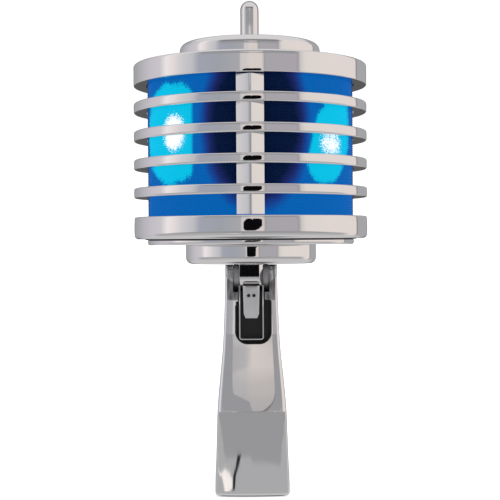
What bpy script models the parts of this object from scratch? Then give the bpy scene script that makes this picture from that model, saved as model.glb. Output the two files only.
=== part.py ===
"""Ribbon microphone with a round ringed head on a flared, tilting stand.

The row frame has its origin at the centre of the stand's flat underside, +Z up, and the front faces -Y.
Sizes are in millimetres here and become metres where an object is made.
"""

import math

import bmesh
import bpy
from mathutils import Matrix, Vector

MM = 0.001
GAP = 0.3  # clearance between pieces that touch on the real object
SCREW_CLEARANCE = 0.3

# Head: rings stacked on one vertical axis
RING_RADIUS = 41.8
RING_BORE = 37.3
RING_CHAMFER = 0.5
BASE_RING_Z = (90.8, 98.6)
FIN_FIRST_Z = 105.4
FIN_PITCH = 10.1
FIN_THICKNESS = 3.5
FIN_COUNT = 4
CROWN_Z = (145.4, 152.9)
CROWN_TOP_THICKNESS = 2.8
BASE_PLATE_RADIUS = 37.0
BASE_PLATE_Z = (88.7, 90.5)
BOSS_RADIUS = 23.4
BOSS_Z = (81.9, 88.4)
BOSS_ROUND = 2.2
CAP_RADIUS = 25.2
CAP_Z = (153.2, 160.7)
CAP_ROUND = 2.6
CAP_WALL = 2.4
FINIAL_RADIUS = 3.3
FINIAL_TOP_Z = 176.5
STUD_RADIUS = 1.8
SPINE_WIDTH = 9.2
SPINE_BACK_Y = 37.25
SPINE_FRONT_Y = 40.5
SPINE_RIDGE = 0.25
SPINE_SLOPE = 0.5
SPINE_BOW = 0.0245
SPINE_STEPS = 12
SCREEN_RADIUS = 36.9
SCREEN_WALL = 0.6
LINER_RADIUS = 35.9
LINER_WALL = 0.7

# Rods that hold the crown to the base
ROD_COUNT = 3
ROD_CIRCLE = 17.8
ROD_RADIUS = 2.2
ROD_SCREW_RADIUS = 1.0
ROD_TAP_DEPTH = 7.0
ROD_HEAD_RADIUS = 2.3
ROD_HEAD_HEIGHT = 1.8

# Ribbon motor, on a deck held by the rods
DECK_RADIUS = 22.0
DECK_Z = (113.8, 115.3)
MOTOR_Z = (117.8, 140.8)
MAGNET_X = (10.6, 15.6)
MAGNET_HALF_Y = 4.0
POLE_X = (3.0, 10.3)
POLE_HALF_Y = 2.4
RIBBON_WIDTH = 4.6
RIBBON_THICKNESS = 0.15
RIBBON_WAVES = 12
RIBBON_WAVE_HEIGHT = 0.4
CLAMP_HEIGHT = 2.2
CLAMP_HALF_X = 5.0
FRAME_Y = (4.3, 5.8)
FRAME_FOOT_Z = 115.6

# Output transformer, under the deck
CAN_RADIUS = 10.0
CAN_WALL = 0.8
CAN_Z = (90.8, 113.2)
CORE_Z = (94.8, 111.8)
CORE_LEG_RADIUS = 3.0
CORE_FLANGE_RADIUS = 8.6
CORE_FLANGE = 2.0
COIL_RADIUS = 8.2

# Lamps that light the screen from inside
LAMP_ANGLES = (40.0, 140.0, 220.0, 320.0)
LAMP_Z = 125.8
LAMP_RADIUS = 2.5
LAMP_BARREL = 2.4
LAMP_RIM = 0.4
LAMP_RIM_HEIGHT = 0.8
BOARD_DISTANCE = 26.0
BOARD_WIDTH = 9.0
BOARD_THICKNESS = 1.2
BOARD_TOP_Z = 133.8

# Tilt joint
AXIS_Z = 76.9
KNUCKLE_RADIUS = 4.6
TONGUE_HALF_WIDTH = 4.2
TONGUE_STEM_RADIUS = 3.0
TONGUE_STEM_TOP_Z = 93.8
TONGUE_NUT_RADIUS = 5.2
TONGUE_NUT_Z = (90.8, 93.2)
PIVOT_RADIUS = 1.8
PIVOT_HOLE_RADIUS = 2.1
PIVOT_HEAD_RADIUS = 3.3
PIVOT_HEAD_THICKNESS = 1.1
WASHER_X = (4.5, 6.2)
WASHER_RADIUS = 4.6
CHEEK_INNER_X = 6.5

# Side view of the slot between the cheeks, as (y, height above the pivot): a floor, a wall that curves up
# behind the knuckle, and a slope that lets the tongue lean back
CHEEK_SLOT = (
    (-20.0, -5.1),
    (2.6, -5.1),
    (4.4, -3.5),
    (5.1, -1.8),
    (20.0, 13.1),
    (20.0, 15.0),
    (-20.0, 15.0),
)

# Stand body: height, half width, half depth and how square the section is
STAND_STATIONS = (
    (0.0, 12.0, 11.7, 5.0),
    (1.3, 13.15, 12.85, 6.0),
    (5.0, 13.1, 12.7, 6.0),
    (14.0, 12.77, 12.3, 7.0),
    (22.0, 12.53, 11.9, 8.5),
    (29.0, 12.3, 11.6, 10.0),
    (32.0, 12.12, 11.3, 10.0),
    (36.0, 11.8, 10.7, 10.0),
    (40.0, 11.43, 10.05, 10.0),
    (44.0, 11.04, 9.4, 10.0),
    (48.0, 10.63, 8.7, 10.0),
    (52.0, 10.24, 8.2, 10.0),
    (60.0, 9.84, 7.9, 10.0),
    (68.0, 9.5, 7.7, 10.0),
    (75.9, 9.35, 7.6, 10.0),
    (78.2, 9.35, 5.3, 10.0),
    (80.2, 9.35, 3.3, 10.0),
    (81.4, 9.35, 1.4, 10.0),
)
STAND_SIDES = 36

# Pocket and slide switch in the stand's front
POCKET_Z = (53.3, 71.9)
POCKET_HALF_WIDTH = 6.4
POCKET_STEP_Z = 68.3
POCKET_NECK_HALF_WIDTH = 4.8
POCKET_BACK_Y = 2.0
POCKET_CORNER = 4.4
SWITCH_PLATE_Y = (-4.0, 1.6)
FRAME_HALF_WIDTH = 4.4
CHANNEL_WALL = 0.5
CHANNEL_Z = (54.8, 74.2)
CHANNEL_Y = (-7.0, -4.3)
SLIDER_Z = (62.5, 74.0)
SLIDER_HALF_WIDTHS = (2.1, 2.97)
SLIDER_CORNER_HEIGHT = 1.6
SLIDER_Y = (-6.5, -4.3)
PIP_RADIUS = 0.6
PIP_PROUD = 0.35
PIP_OFFSET = 0.95
PIP_HEIGHT = 8.05

# Stand socket in the underside
INSERT_RADIUS = 9.6
INSERT_BORE_RADIUS = 7.95
INSERT_Z = (0.4, 14.0)

# Connector at the back of the stand
PLUG_Z = 31.0
SHELL_RADIUS = 9.2
SHELL_BORE = 8.2
SHELL_Y = (0.4, 21.0)
COLLAR_RADIUS = 11.6
COLLAR_Y = (4.0, 19.4)
INSULATOR_Y = (0.7, 4.5)
PIN_RADIUS = 1.2
PIN_CIRCLE = 4.0
PIN_Y = (1.5, 16.5)
PIN_ANGLES = (90.0, 210.0, 330.0)
WIRE_BORE_RADIUS = 2.2

RING_STEPS = 44
ROUND_STEPS = 24
SMALL_STEPS = 12


def clear_scene():
    for item in list(bpy.data.objects):
        bpy.data.objects.remove(item, do_unlink=True)


def make_collection(name):
    collection = bpy.data.collections.new(name)
    bpy.context.scene.collection.children.link(collection)
    return collection


clear_scene()
PARTS = make_collection("ribbon_microphone")
CUTTERS = make_collection("cutters")


# ---------------------------------------------------------------- materials

def make_material(name, colour, metallic, roughness):
    material = bpy.data.materials.new(name)
    material.use_nodes = True
    shader = material.node_tree.nodes["Principled BSDF"]
    shader.inputs["Base Color"].default_value = (*colour, 1.0)
    shader.inputs["Metallic"].default_value = metallic
    shader.inputs["Roughness"].default_value = roughness
    material.diffuse_color = (*colour, 1.0)
    return material


FINISHES = {
    "chrome": ((0.78, 0.77, 0.77), 1.0, 0.06),
    "blue_mesh": ((0.01, 0.16, 0.55), 0.6, 0.35),
    "cloth": ((0.01, 0.03, 0.10), 0.0, 0.9),
    "steel": ((0.55, 0.55, 0.56), 1.0, 0.3),
    "magnet": ((0.35, 0.35, 0.37), 1.0, 0.45),
    "foil": ((0.85, 0.85, 0.86), 1.0, 0.25),
    "black_plastic": ((0.01, 0.01, 0.01), 0.0, 0.4),
    "brass": ((0.80, 0.60, 0.28), 1.0, 0.3),
    "copper_wire": ((0.70, 0.30, 0.14), 1.0, 0.35),
    "board": ((0.02, 0.10, 0.05), 0.0, 0.5),
    "lamp": ((0.15, 0.55, 0.95), 0.0, 0.15),
    "silver_pin": ((0.80, 0.80, 0.78), 1.0, 0.15),
}


def finish(piece, kind):
    """Give a piece a material of its own, in one of the finishes above."""
    piece.data.materials.clear()
    piece.data.materials.append(make_material(piece.name + "_finish", *FINISHES[kind]))
    return piece


# ---------------------------------------------------------------- shapes

def place(name, mesh, collection):
    piece = bpy.data.objects.new(name, mesh)
    collection.objects.link(piece)
    return piece


def mesh_from(bm, name):
    mesh = bpy.data.meshes.new(name)
    bm.to_mesh(mesh)
    bm.free()
    return mesh


def smooth(piece, angle=40.0):
    piece.data.shade_smooth()
    piece.data.set_sharp_from_angle(angle=math.radians(angle))
    return piece


AXIS_TURN = {
    "Z": Matrix.Identity(4),
    "Y": Matrix.Rotation(math.radians(-90.0), 4, "X"),
    "X": Matrix.Rotation(math.radians(90.0), 4, "Y"),
}


def turned(name, profile, steps, axis="Z", at=(0.0, 0.0, 0.0), closed=True, collection=None):
    """A turned piece. The profile holds (radius, height) points, down the outer side, then up the bore."""
    bm = bmesh.new()
    points = [bm.verts.new((radius * MM, 0.0, height * MM)) for radius, height in profile]
    for start, end in zip(points, points[1:]):
        bm.edges.new((start, end))
    if closed:
        bm.edges.new((points[-1], points[0]))
    piece = place(name, mesh_from(bm, name), collection or PARTS)
    screw = piece.modifiers.new("turn", "SCREW")
    screw.axis = "Z"
    screw.angle = 2.0 * math.pi
    screw.steps = steps
    screw.render_steps = steps
    screw.use_merge_vertices = True
    screw.merge_threshold = 0.00001
    piece.matrix_world = Matrix.Translation(Vector(at) * MM) @ AXIS_TURN[axis]
    return piece


def rod_profile(radius, low, high, chamfer=0.0):
    if not chamfer:
        return [(0.0, high), (radius, high), (radius, low), (0.0, low)]
    return [(0.0, high), (radius - chamfer, high), (radius, high - chamfer),
            (radius, low + chamfer), (radius - chamfer, low), (0.0, low)]


def rod(name, radius, low, high, steps=SMALL_STEPS, axis="Z", at=(0.0, 0.0, 0.0), chamfer=0.0,
        collection=None):
    profile = rod_profile(radius, low, high, chamfer)
    return turned(name, profile, steps, axis, at, closed=False, collection=collection)


def tube(name, radius, bore, low, high, steps, axis="Z", at=(0.0, 0.0, 0.0)):
    return turned(name, [(radius, high), (radius, low), (bore, low), (bore, high)], steps, axis, at)


def ring_profile(radius, bore, low, high, chamfer=RING_CHAMFER):
    return [(radius - chamfer, high), (radius, high - chamfer), (radius, low + chamfer),
            (radius - chamfer, low), (bore, low), (bore, high)]


def block(name, low, high, collection=None):
    bm = bmesh.new()
    bmesh.ops.create_cube(bm, size=1.0)
    size = [(b - a) * MM for a, b in zip(low, high)]
    centre = [(b + a) * 0.5 * MM for a, b in zip(low, high)]
    bmesh.ops.scale(bm, vec=size, verts=bm.verts)
    bmesh.ops.translate(bm, vec=centre, verts=bm.verts)
    return place(name, mesh_from(bm, name), collection or PARTS)


EXTRUDE_TURN = {
    "Z": Matrix.Identity(4),
    "Y": Matrix(((1, 0, 0, 0), (0, 0, -1, 0), (0, 1, 0, 0), (0, 0, 0, 1))),
    "X": Matrix(((0, 0, 1, 0), (1, 0, 0, 0), (0, 1, 0, 0), (0, 0, 0, 1))),
}
AXIS_DIRECTION = {"X": Vector((1.0, 0.0, 0.0)), "Y": Vector((0.0, 1.0, 0.0)), "Z": Vector((0.0, 0.0, 1.0))}


def extruded(name, outline, low, high, axis="Z", collection=None):
    """A flat outline, extruded from low to high along its axis. It lies in (X, Y), in (X, Z) for an
    extrusion along Y, or in (Y, Z) for one along X."""
    curve = bpy.data.curves.new(name, "CURVE")
    curve.dimensions = "2D"
    curve.fill_mode = "BOTH"
    curve.extrude = (high - low) * 0.5 * MM
    spline = curve.splines.new("POLY")
    spline.points.add(len(outline) - 1)
    for point, (across, up) in zip(spline.points, outline):
        point.co = (across * MM, up * MM, 0.0, 1.0)
    spline.use_cyclic_u = True
    guide = place(name + "_outline", curve, CUTTERS)
    depsgraph = bpy.context.evaluated_depsgraph_get()
    mesh = bpy.data.meshes.new_from_object(guide.evaluated_get(depsgraph))
    bpy.data.objects.remove(guide, do_unlink=True)
    bm = bmesh.new()
    bm.from_mesh(mesh)
    bmesh.ops.remove_doubles(bm, verts=bm.verts, dist=0.000001)
    bmesh.ops.recalc_face_normals(bm, faces=bm.faces)
    bm.to_mesh(mesh)
    bm.free()
    piece = place(name, mesh, collection or PARTS)
    middle = (high + low) * 0.5 * MM
    piece.matrix_world = Matrix.Translation(AXIS_DIRECTION[axis] * middle) @ EXTRUDE_TURN[axis]
    return piece


def hexagon(radius):
    return [polar(radius, angle) for angle in range(0, 360, 60)]


def boolean(piece, other, operation):
    modifier = piece.modifiers.new(operation.lower() + "_" + other.name, "BOOLEAN")
    modifier.operation = operation
    modifier.solver = "EXACT"
    modifier.object = other
    return piece


def hide_as_cutter(other):
    other.hide_render = True
    other.display_type = "WIRE"
    return other


def cut(piece, cutter):
    return boolean(piece, hide_as_cutter(cutter), "DIFFERENCE")


def join(piece, other):
    return boolean(piece, hide_as_cutter(other), "UNION")


def polar(radius, angle):
    turn = math.radians(angle)
    return radius * math.cos(turn), radius * math.sin(turn)


ROD_ANGLES = [90.0 + 360.0 * index / ROD_COUNT for index in range(ROD_COUNT)]


# ---------------------------------------------------------------- head shell

def rod_holes(piece, radius, low, high, label):
    for index, angle in enumerate(ROD_ANGLES):
        x, y = polar(ROD_CIRCLE, angle)
        cutter = rod(f"{label}_hole_{index + 1}", radius, low, high, at=(x, y, 0.0), collection=CUTTERS)
        cut(piece, cutter)


def spine_outline(margin, side):
    """Two flanks that meet in a ridge, on a flat back; side is -1 at the front and 1 at the rear."""
    half = SPINE_WIDTH * 0.5 + margin
    back = SPINE_BACK_Y - 3.0 * margin
    outline = [(half, side * back), (-half, side * back)]
    for step in range(SPINE_STEPS + 1):
        across = half * (2.0 * step / SPINE_STEPS - 1.0)
        fall = SPINE_SLOPE * (math.hypot(across, SPINE_RIDGE) - SPINE_RIDGE) + SPINE_BOW * across * across
        outline.append((across, side * (SPINE_FRONT_Y + margin - fall)))
    return outline


def make_spines():
    low = BASE_RING_Z[1] + GAP
    high = CROWN_Z[0] - GAP
    for name, side in (("spine_front", -1), ("spine_rear", 1)):
        finish(smooth(extruded(name, spine_outline(0.0, side), low, high)), "chrome")


def make_fins(notches):
    profile = ring_profile(RING_RADIUS, RING_BORE, 0.0, FIN_THICKNESS)
    for index in range(FIN_COUNT):
        fin = turned(f"fin_{index + 1}", profile, RING_STEPS, at=(0.0, 0.0, FIN_FIRST_Z + FIN_PITCH * index))
        for notch in notches:
            cut(fin, notch)
        finish(smooth(fin), "chrome")


def make_spine_notches():
    low = BASE_RING_Z[1]
    high = CROWN_Z[0]
    return [extruded(f"spine_notch_{side}", spine_outline(GAP, side), low, high, collection=CUTTERS)
            for side in (-1, 1)]


def make_base_ring():
    low, high = BASE_RING_Z
    ring = turned("base_ring", ring_profile(RING_RADIUS, RING_BORE, low, high), RING_STEPS)
    finish(smooth(ring), "chrome")


def make_base_plate():
    low, high = BASE_PLATE_Z
    bore = TONGUE_STEM_RADIUS + SCREW_CLEARANCE
    plate = tube("base_plate", BASE_PLATE_RADIUS, bore, low, high, RING_STEPS)
    rod_holes(plate, ROD_SCREW_RADIUS + SCREW_CLEARANCE, low - 1.0, high + 1.0, "plate")
    finish(smooth(plate), "chrome")


def make_lower_boss():
    low, high = BOSS_Z
    bore = TONGUE_STEM_RADIUS + SCREW_CLEARANCE
    profile = [(BOSS_RADIUS, high)]
    for angle in (0.0, -30.0, -60.0, -90.0):
        across, up = polar(BOSS_ROUND, angle)
        profile.append((BOSS_RADIUS - BOSS_ROUND + across, low + BOSS_ROUND + up))
    profile += [(bore, low), (bore, high)]
    boss = turned("lower_boss", profile, RING_STEPS)
    rod_holes(boss, ROD_SCREW_RADIUS + SCREW_CLEARANCE, low - 1.0, high + 1.0, "boss")
    seat = low + ROD_HEAD_HEIGHT + 2.0 * GAP
    rod_holes(boss, ROD_HEAD_RADIUS + SCREW_CLEARANCE, low - 1.0, seat, "boss_seat")
    finish(smooth(boss), "chrome")


def make_crown():
    low, high = CROWN_Z
    ceiling = high - CROWN_TOP_THICKNESS
    bore = STUD_RADIUS + SCREW_CLEARANCE
    profile = [(RING_RADIUS - RING_CHAMFER, high), (RING_RADIUS, high - RING_CHAMFER),
               (RING_RADIUS, low + RING_CHAMFER), (RING_RADIUS - RING_CHAMFER, low),
               (RING_BORE, low), (RING_BORE, ceiling), (bore, ceiling), (bore, high)]
    crown = turned("crown_ring", profile, RING_STEPS)
    rod_holes(crown, ROD_SCREW_RADIUS + SCREW_CLEARANCE, ceiling - 1.0, high + 1.0, "crown")
    finish(smooth(crown), "chrome")


def make_cap():
    low, high = CAP_Z
    bore = STUD_RADIUS + SCREW_CLEARANCE
    arc = []
    for step in range(5):
        turn = math.radians(90.0 - 22.5 * step)
        across, up = CAP_ROUND * math.cos(turn), CAP_ROUND * math.sin(turn)
        arc.append((CAP_RADIUS - CAP_ROUND + across, high - CAP_ROUND + up))
    inner = CAP_RADIUS - CAP_WALL
    ceiling = high - CAP_WALL
    profile = arc + [(CAP_RADIUS, low), (inner, low), (inner, ceiling), (bore, ceiling), (bore, high)]
    finish(smooth(turned("cap", profile, RING_STEPS)), "chrome")


def make_finial():
    low = CAP_Z[1] + GAP
    centre = FINIAL_TOP_Z - FINIAL_RADIUS
    dome = [(FINIAL_RADIUS * math.sin(math.radians(a)), centre + FINIAL_RADIUS * math.cos(math.radians(a)))
            for a in (0, 18, 36, 54, 72, 90)]
    stud = CROWN_Z[1] - CROWN_TOP_THICKNESS - 4.0
    profile = dome + [(FINIAL_RADIUS, low), (STUD_RADIUS, low), (STUD_RADIUS, stud), (0.0, stud)]
    finish(smooth(turned("finial", profile, ROUND_STEPS, closed=False)), "chrome")


def make_nut(name, radius, bore, low, high, x=0.0, y=0.0):
    nut = extruded(name, hexagon(radius), low, high)
    nut.matrix_world = Matrix.Translation((x * MM, y * MM, 0.0)) @ nut.matrix_world
    cut(nut, rod(name + "_bore", bore, low - 1.0, high + 1.0, at=(x, y, 0.0), collection=CUTTERS))
    finish(nut, "brass")


def make_screen():
    low = BASE_PLATE_Z[1] + GAP
    high = CROWN_Z[1] - CROWN_TOP_THICKNESS - GAP
    screen = tube("mesh_screen", SCREEN_RADIUS, SCREEN_RADIUS - SCREEN_WALL, low, high, RING_STEPS)
    finish(smooth(screen), "blue_mesh")
    liner = tube("acoustic_liner", LINER_RADIUS, LINER_RADIUS - LINER_WALL, low, high, RING_STEPS)
    finish(smooth(liner), "cloth")


def make_rods():
    low = BASE_PLATE_Z[1] + GAP
    ceiling = CROWN_Z[1] - CROWN_TOP_THICKNESS
    shoulder = ceiling - GAP
    stud = CROWN_Z[1] + 2.6
    tap = ROD_SCREW_RADIUS + SCREW_CLEARANCE
    for index, angle in enumerate(ROD_ANGLES):
        x, y = polar(ROD_CIRCLE, angle)
        number = index + 1
        profile = [(0.0, stud), (ROD_SCREW_RADIUS, stud), (ROD_SCREW_RADIUS, shoulder),
                   (ROD_RADIUS, shoulder), (ROD_RADIUS, low), (tap, low),
                   (tap, low + ROD_TAP_DEPTH), (0.0, low + ROD_TAP_DEPTH)]
        piece = turned(f"tie_rod_{number}", profile, SMALL_STEPS, at=(x, y, 0.0), closed=False)
        finish(smooth(piece), "steel")
        nut_low = CROWN_Z[1] + GAP
        make_nut(f"rod_nut_{number}", 2.4, tap, nut_low, nut_low + 1.8, x, y)
        head_low = BOSS_Z[0] + GAP
        head_high = head_low + ROD_HEAD_HEIGHT
        profile = [(0.0, low + ROD_TAP_DEPTH - 1.0), (ROD_SCREW_RADIUS, low + ROD_TAP_DEPTH - 1.0),
                   (ROD_SCREW_RADIUS, head_high), (ROD_HEAD_RADIUS, head_high),
                   (ROD_HEAD_RADIUS, head_low), (0.0, head_low)]
        piece = turned(f"rod_screw_{number}", profile, SMALL_STEPS, at=(x, y, 0.0), closed=False)
        finish(smooth(piece), "steel")


# ---------------------------------------------------------------- head inside

def make_motor():
    deck = rod("motor_deck", DECK_RADIUS, *DECK_Z, steps=ROUND_STEPS)
    rod_holes(deck, ROD_RADIUS + GAP, DECK_Z[0] - 1.0, DECK_Z[1] + 1.0, "deck")
    finish(smooth(deck), "steel")
    low, high = MOTOR_Z
    for name, side in (("left", -1), ("right", 1)):
        inner, outer = sorted((side * MAGNET_X[0], side * MAGNET_X[1]))
        magnet = block(f"magnet_{name}", (inner, -MAGNET_HALF_Y, low), (outer, MAGNET_HALF_Y, high))
        finish(magnet, "magnet")
        inner, outer = sorted((side * POLE_X[0], side * POLE_X[1]))
        pole = block(f"pole_piece_{name}", (inner, -POLE_HALF_Y, low), (outer, POLE_HALF_Y, high))
        finish(pole, "steel")
    make_motor_frame()
    make_ribbon()


def make_motor_frame():
    """Upright yoke plate behind the magnets, with a window behind the ribbon."""
    high = MOTOR_Z[1] + 4.0
    frame = block("motor_frame", (-MAGNET_X[1], FRAME_Y[0], FRAME_FOOT_Z), (MAGNET_X[1], FRAME_Y[1], high))
    window = block("motor_window", (-POLE_X[0], FRAME_Y[0] - 1.0, MOTOR_Z[0]),
                   (POLE_X[0], FRAME_Y[1] + 1.0, MOTOR_Z[1]), CUTTERS)
    finish(cut(frame, window), "steel")


def make_ribbon():
    """Corrugated foil strip between the pole pieces, its ends in the slots of two clamps."""
    low, high = MOTOR_Z
    reach = GAP + CLAMP_HEIGHT
    start, end = low - reach, high + reach
    half = RIBBON_THICKNESS * 0.5
    steps = RIBBON_WAVES * 2
    front = []
    for step in range(steps + 1):
        wave = RIBBON_WAVE_HEIGHT * (0.5 if step % 2 else -0.5)
        front.append((wave, low + (high - low) * step / steps))
    path = [(0.0, start)] + front + [(0.0, end)]
    outline = [(y - half, z) for y, z in path] + [(y + half, z) for y, z in reversed(path)]
    finish(extruded("ribbon", outline, -RIBBON_WIDTH * 0.5, RIBBON_WIDTH * 0.5, "X"), "foil")
    clamps = {"bottom": (low - reach + 0.2, low - GAP), "top": (high + GAP, high + reach - 0.2)}
    for name, (bottom, top) in clamps.items():
        clamp = block(f"ribbon_clamp_{name}", (-CLAMP_HALF_X, -2.6, bottom), (CLAMP_HALF_X, 4.0, top))
        slot = block(f"clamp_slot_{name}", (-RIBBON_WIDTH * 0.5 - GAP, -half - GAP, bottom - 1.0),
                     (RIBBON_WIDTH * 0.5 + GAP, half + GAP, top + 1.0), CUTTERS)
        finish(cut(clamp, slot), "black_plastic")


def make_transformer():
    low, high = CAN_Z
    inner = CAN_RADIUS - CAN_WALL
    profile = [(0.0, high), (CAN_RADIUS, high), (CAN_RADIUS, low), (inner, low), (inner, high - CAN_WALL),
               (0.0, high - CAN_WALL)]
    finish(smooth(turned("transformer_can", profile, ROUND_STEPS, closed=False)), "steel")
    low, high = CORE_Z
    profile = [(0.0, high), (CORE_FLANGE_RADIUS, high), (CORE_FLANGE_RADIUS, high - CORE_FLANGE),
               (CORE_LEG_RADIUS, high - CORE_FLANGE), (CORE_LEG_RADIUS, low + CORE_FLANGE),
               (CORE_FLANGE_RADIUS, low + CORE_FLANGE), (CORE_FLANGE_RADIUS, low), (0.0, low)]
    finish(smooth(turned("transformer_core", profile, ROUND_STEPS, closed=False)), "magnet")
    coil = tube("transformer_coil", COIL_RADIUS, CORE_LEG_RADIUS + GAP, low + CORE_FLANGE + GAP,
                high - CORE_FLANGE - GAP, ROUND_STEPS)
    finish(smooth(coil), "copper_wire")


def make_lamps():
    low = BASE_PLATE_Z[1] + GAP
    front = BOARD_DISTANCE + BOARD_THICKNESS + GAP
    for index, angle in enumerate(LAMP_ANGLES):
        turn = Matrix.Rotation(math.radians(angle - 90.0), 4, "Z")
        board = block(f"lamp_board_{index + 1}", (-BOARD_WIDTH * 0.5, BOARD_DISTANCE, low),
                      (BOARD_WIDTH * 0.5, BOARD_DISTANCE + BOARD_THICKNESS, BOARD_TOP_Z))
        board.matrix_world = turn
        finish(board, "board")
        shoulder = front + LAMP_BARREL
        rim = LAMP_RADIUS + LAMP_RIM
        profile = [(0.0, shoulder + LAMP_RADIUS)]
        for angle in (60.0, 30.0, 0.0):
            across, up = polar(LAMP_RADIUS, angle)
            profile.append((across, shoulder + up))
        profile += [(rim, front + LAMP_RIM_HEIGHT), (rim, front), (0.0, front)]
        lamp = turned(f"lamp_{index + 1}", profile, SMALL_STEPS, "Y", (0.0, 0.0, LAMP_Z), closed=False)
        lamp.matrix_world = turn @ lamp.matrix_world
        finish(smooth(lamp), "lamp")


# ---------------------------------------------------------------- tilt joint

def make_tongue():
    """Tab with a round knuckle, and a threaded stem that holds the boss and the base plate."""
    width = 2.0 * TONGUE_HALF_WIDTH
    top = BOSS_Z[0] - GAP
    at = (0.0, 0.0, AXIS_Z)
    tongue = rod("hinge_tongue", KNUCKLE_RADIUS, -width * 0.5, width * 0.5, ROUND_STEPS, "X", at)
    tab = block("tongue_tab", (-width * 0.5, -KNUCKLE_RADIUS + 0.01, AXIS_Z),
                (width * 0.5, KNUCKLE_RADIUS - 0.01, top), CUTTERS)
    stem = rod("tongue_stem", TONGUE_STEM_RADIUS, AXIS_Z + 3.4, TONGUE_STEM_TOP_Z, collection=CUTTERS)
    hole = rod("tongue_hole", PIVOT_HOLE_RADIUS, -width, width, SMALL_STEPS, "X", at, collection=CUTTERS)
    join(tongue, tab)
    join(tongue, stem)
    cut(tongue, hole)
    finish(smooth(tongue), "chrome")
    bore = TONGUE_STEM_RADIUS + SCREW_CLEARANCE
    make_nut("tongue_nut", TONGUE_NUT_RADIUS, bore, *TONGUE_NUT_Z)


def make_pivot():
    at = (0.0, 0.0, AXIS_Z)
    outer = STAND_STATIONS[-1][1] - 0.4
    inner = outer - PIVOT_HEAD_THICKNESS
    bolt = [(0.0, inner - GAP), (PIVOT_RADIUS, inner - GAP), (PIVOT_RADIUS, -inner),
            (PIVOT_HEAD_RADIUS, -inner), (PIVOT_HEAD_RADIUS, -outer), (0.0, -outer)]
    finish(smooth(turned("pivot_bolt", bolt, SMALL_STEPS * 2, "X", at, closed=False)), "chrome")
    nut = [(0.0, outer), (PIVOT_HEAD_RADIUS, outer), (PIVOT_HEAD_RADIUS, inner), (0.0, inner)]
    finish(smooth(turned("pivot_nut", nut, SMALL_STEPS * 2, "X", at, closed=False)), "chrome")
    for name, side in (("left", -1), ("right", 1)):
        low, high = sorted((side * WASHER_X[0], side * WASHER_X[1]))
        washer = tube(f"friction_washer_{name}", WASHER_RADIUS, PIVOT_HOLE_RADIUS, low, high, SMALL_STEPS * 2,
                      "X", at)
        finish(smooth(washer), "steel")


# ---------------------------------------------------------------- stand

def section_point(half_width, half_depth, power, turn):
    """A point of a superellipse, which is a rectangle with softly rounded corners."""
    across, deep = math.cos(turn), math.sin(turn)
    reach = (abs(across) ** power + abs(deep) ** power) ** (-1.0 / power)
    return half_width * across * reach, half_depth * deep * reach


def loft_stand(name):
    bm = bmesh.new()
    rings = []
    for height, half_width, half_depth, power in STAND_STATIONS:
        ring = []
        for step in range(STAND_SIDES):
            turn = 2.0 * math.pi * (step + 0.5) / STAND_SIDES
            x, y = section_point(half_width, half_depth, power, turn)
            ring.append(bm.verts.new((x * MM, y * MM, height * MM)))
        rings.append(ring)
    for lower, upper in zip(rings, rings[1:]):
        for step in range(STAND_SIDES):
            after = (step + 1) % STAND_SIDES
            bm.faces.new((lower[step], lower[after], upper[after], upper[step]))
    bm.faces.new(list(reversed(rings[0])))
    bm.faces.new(rings[-1])
    return place(name, mesh_from(bm, name), PARTS)


def pocket_outline(inset):
    """Front view of the switch pocket, drawn in by an inset: narrow at the top, where it holds the switch's
    frame, then wide, with a well rounded bottom."""
    low, high = POCKET_Z[0] + inset, POCKET_Z[1]
    wide = POCKET_HALF_WIDTH - inset
    narrow = POCKET_NECK_HALF_WIDTH - inset
    step_z = POCKET_STEP_Z - inset
    corner = POCKET_CORNER - inset
    outline = [(wide, step_z), (narrow, step_z), (narrow, high), (-narrow, high), (-narrow, step_z),
               (-wide, step_z)]
    for side, first in ((-1, 180), (1, 270)):
        for angle in range(first, first + 91, 18):
            across, up = polar(corner, angle)
            outline.append((side * (wide - corner) + across, low + corner + up))
    return outline


def make_pivot_cutter():
    """The pivot's hole through both cheeks, with a round seat for its head and its nut."""
    seat = STAND_STATIONS[-1][1] - 0.4 - PIVOT_HEAD_THICKNESS - GAP
    wide = PIVOT_HEAD_RADIUS + GAP
    profile = [(0.0, 20.0), (wide, 20.0), (wide, seat), (PIVOT_HOLE_RADIUS, seat),
               (PIVOT_HOLE_RADIUS, -seat), (wide, -seat), (wide, -20.0), (0.0, -20.0)]
    return turned("pivot_seats", profile, SMALL_STEPS * 2, "X", (0.0, 0.0, AXIS_Z), closed=False,
                  collection=CUTTERS)


def make_stand_body():
    body = loft_stand("stand_body")
    plug_at = (0.0, 0.0, PLUG_Z)
    join(body, rod("collar", COLLAR_RADIUS, *COLLAR_Y, ROUND_STEPS, "Y", plug_at, 1.0, CUTTERS))
    slot_side = [(y, AXIS_Z + rise) for y, rise in CHEEK_SLOT]
    slot = extruded("cheek_slot", slot_side, -CHEEK_INNER_X, CHEEK_INNER_X, "X", CUTTERS)
    pocket = extruded("pocket", pocket_outline(0.0), -20.0, POCKET_BACK_Y, "Y", CUTTERS)
    cut(body, slot)
    cut(body, pocket)
    cut(body, make_pivot_cutter())
    cut(body, rod("wire_bore", WIRE_BORE_RADIUS, PLUG_Z, 60.0, at=(0.0, 3.2, 0.0), collection=CUTTERS))
    seat = INSERT_Z[1] + GAP
    cut(body, rod("insert_seat", INSERT_RADIUS + GAP, -5.0, seat, ROUND_STEPS, collection=CUTTERS))
    seat = SHELL_Y[0] - GAP
    cut(body, rod("plug_seat", SHELL_RADIUS + GAP, seat, 40.0, ROUND_STEPS, "Y", plug_at, collection=CUTTERS))
    finish(smooth(body, 32.0), "chrome")


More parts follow.
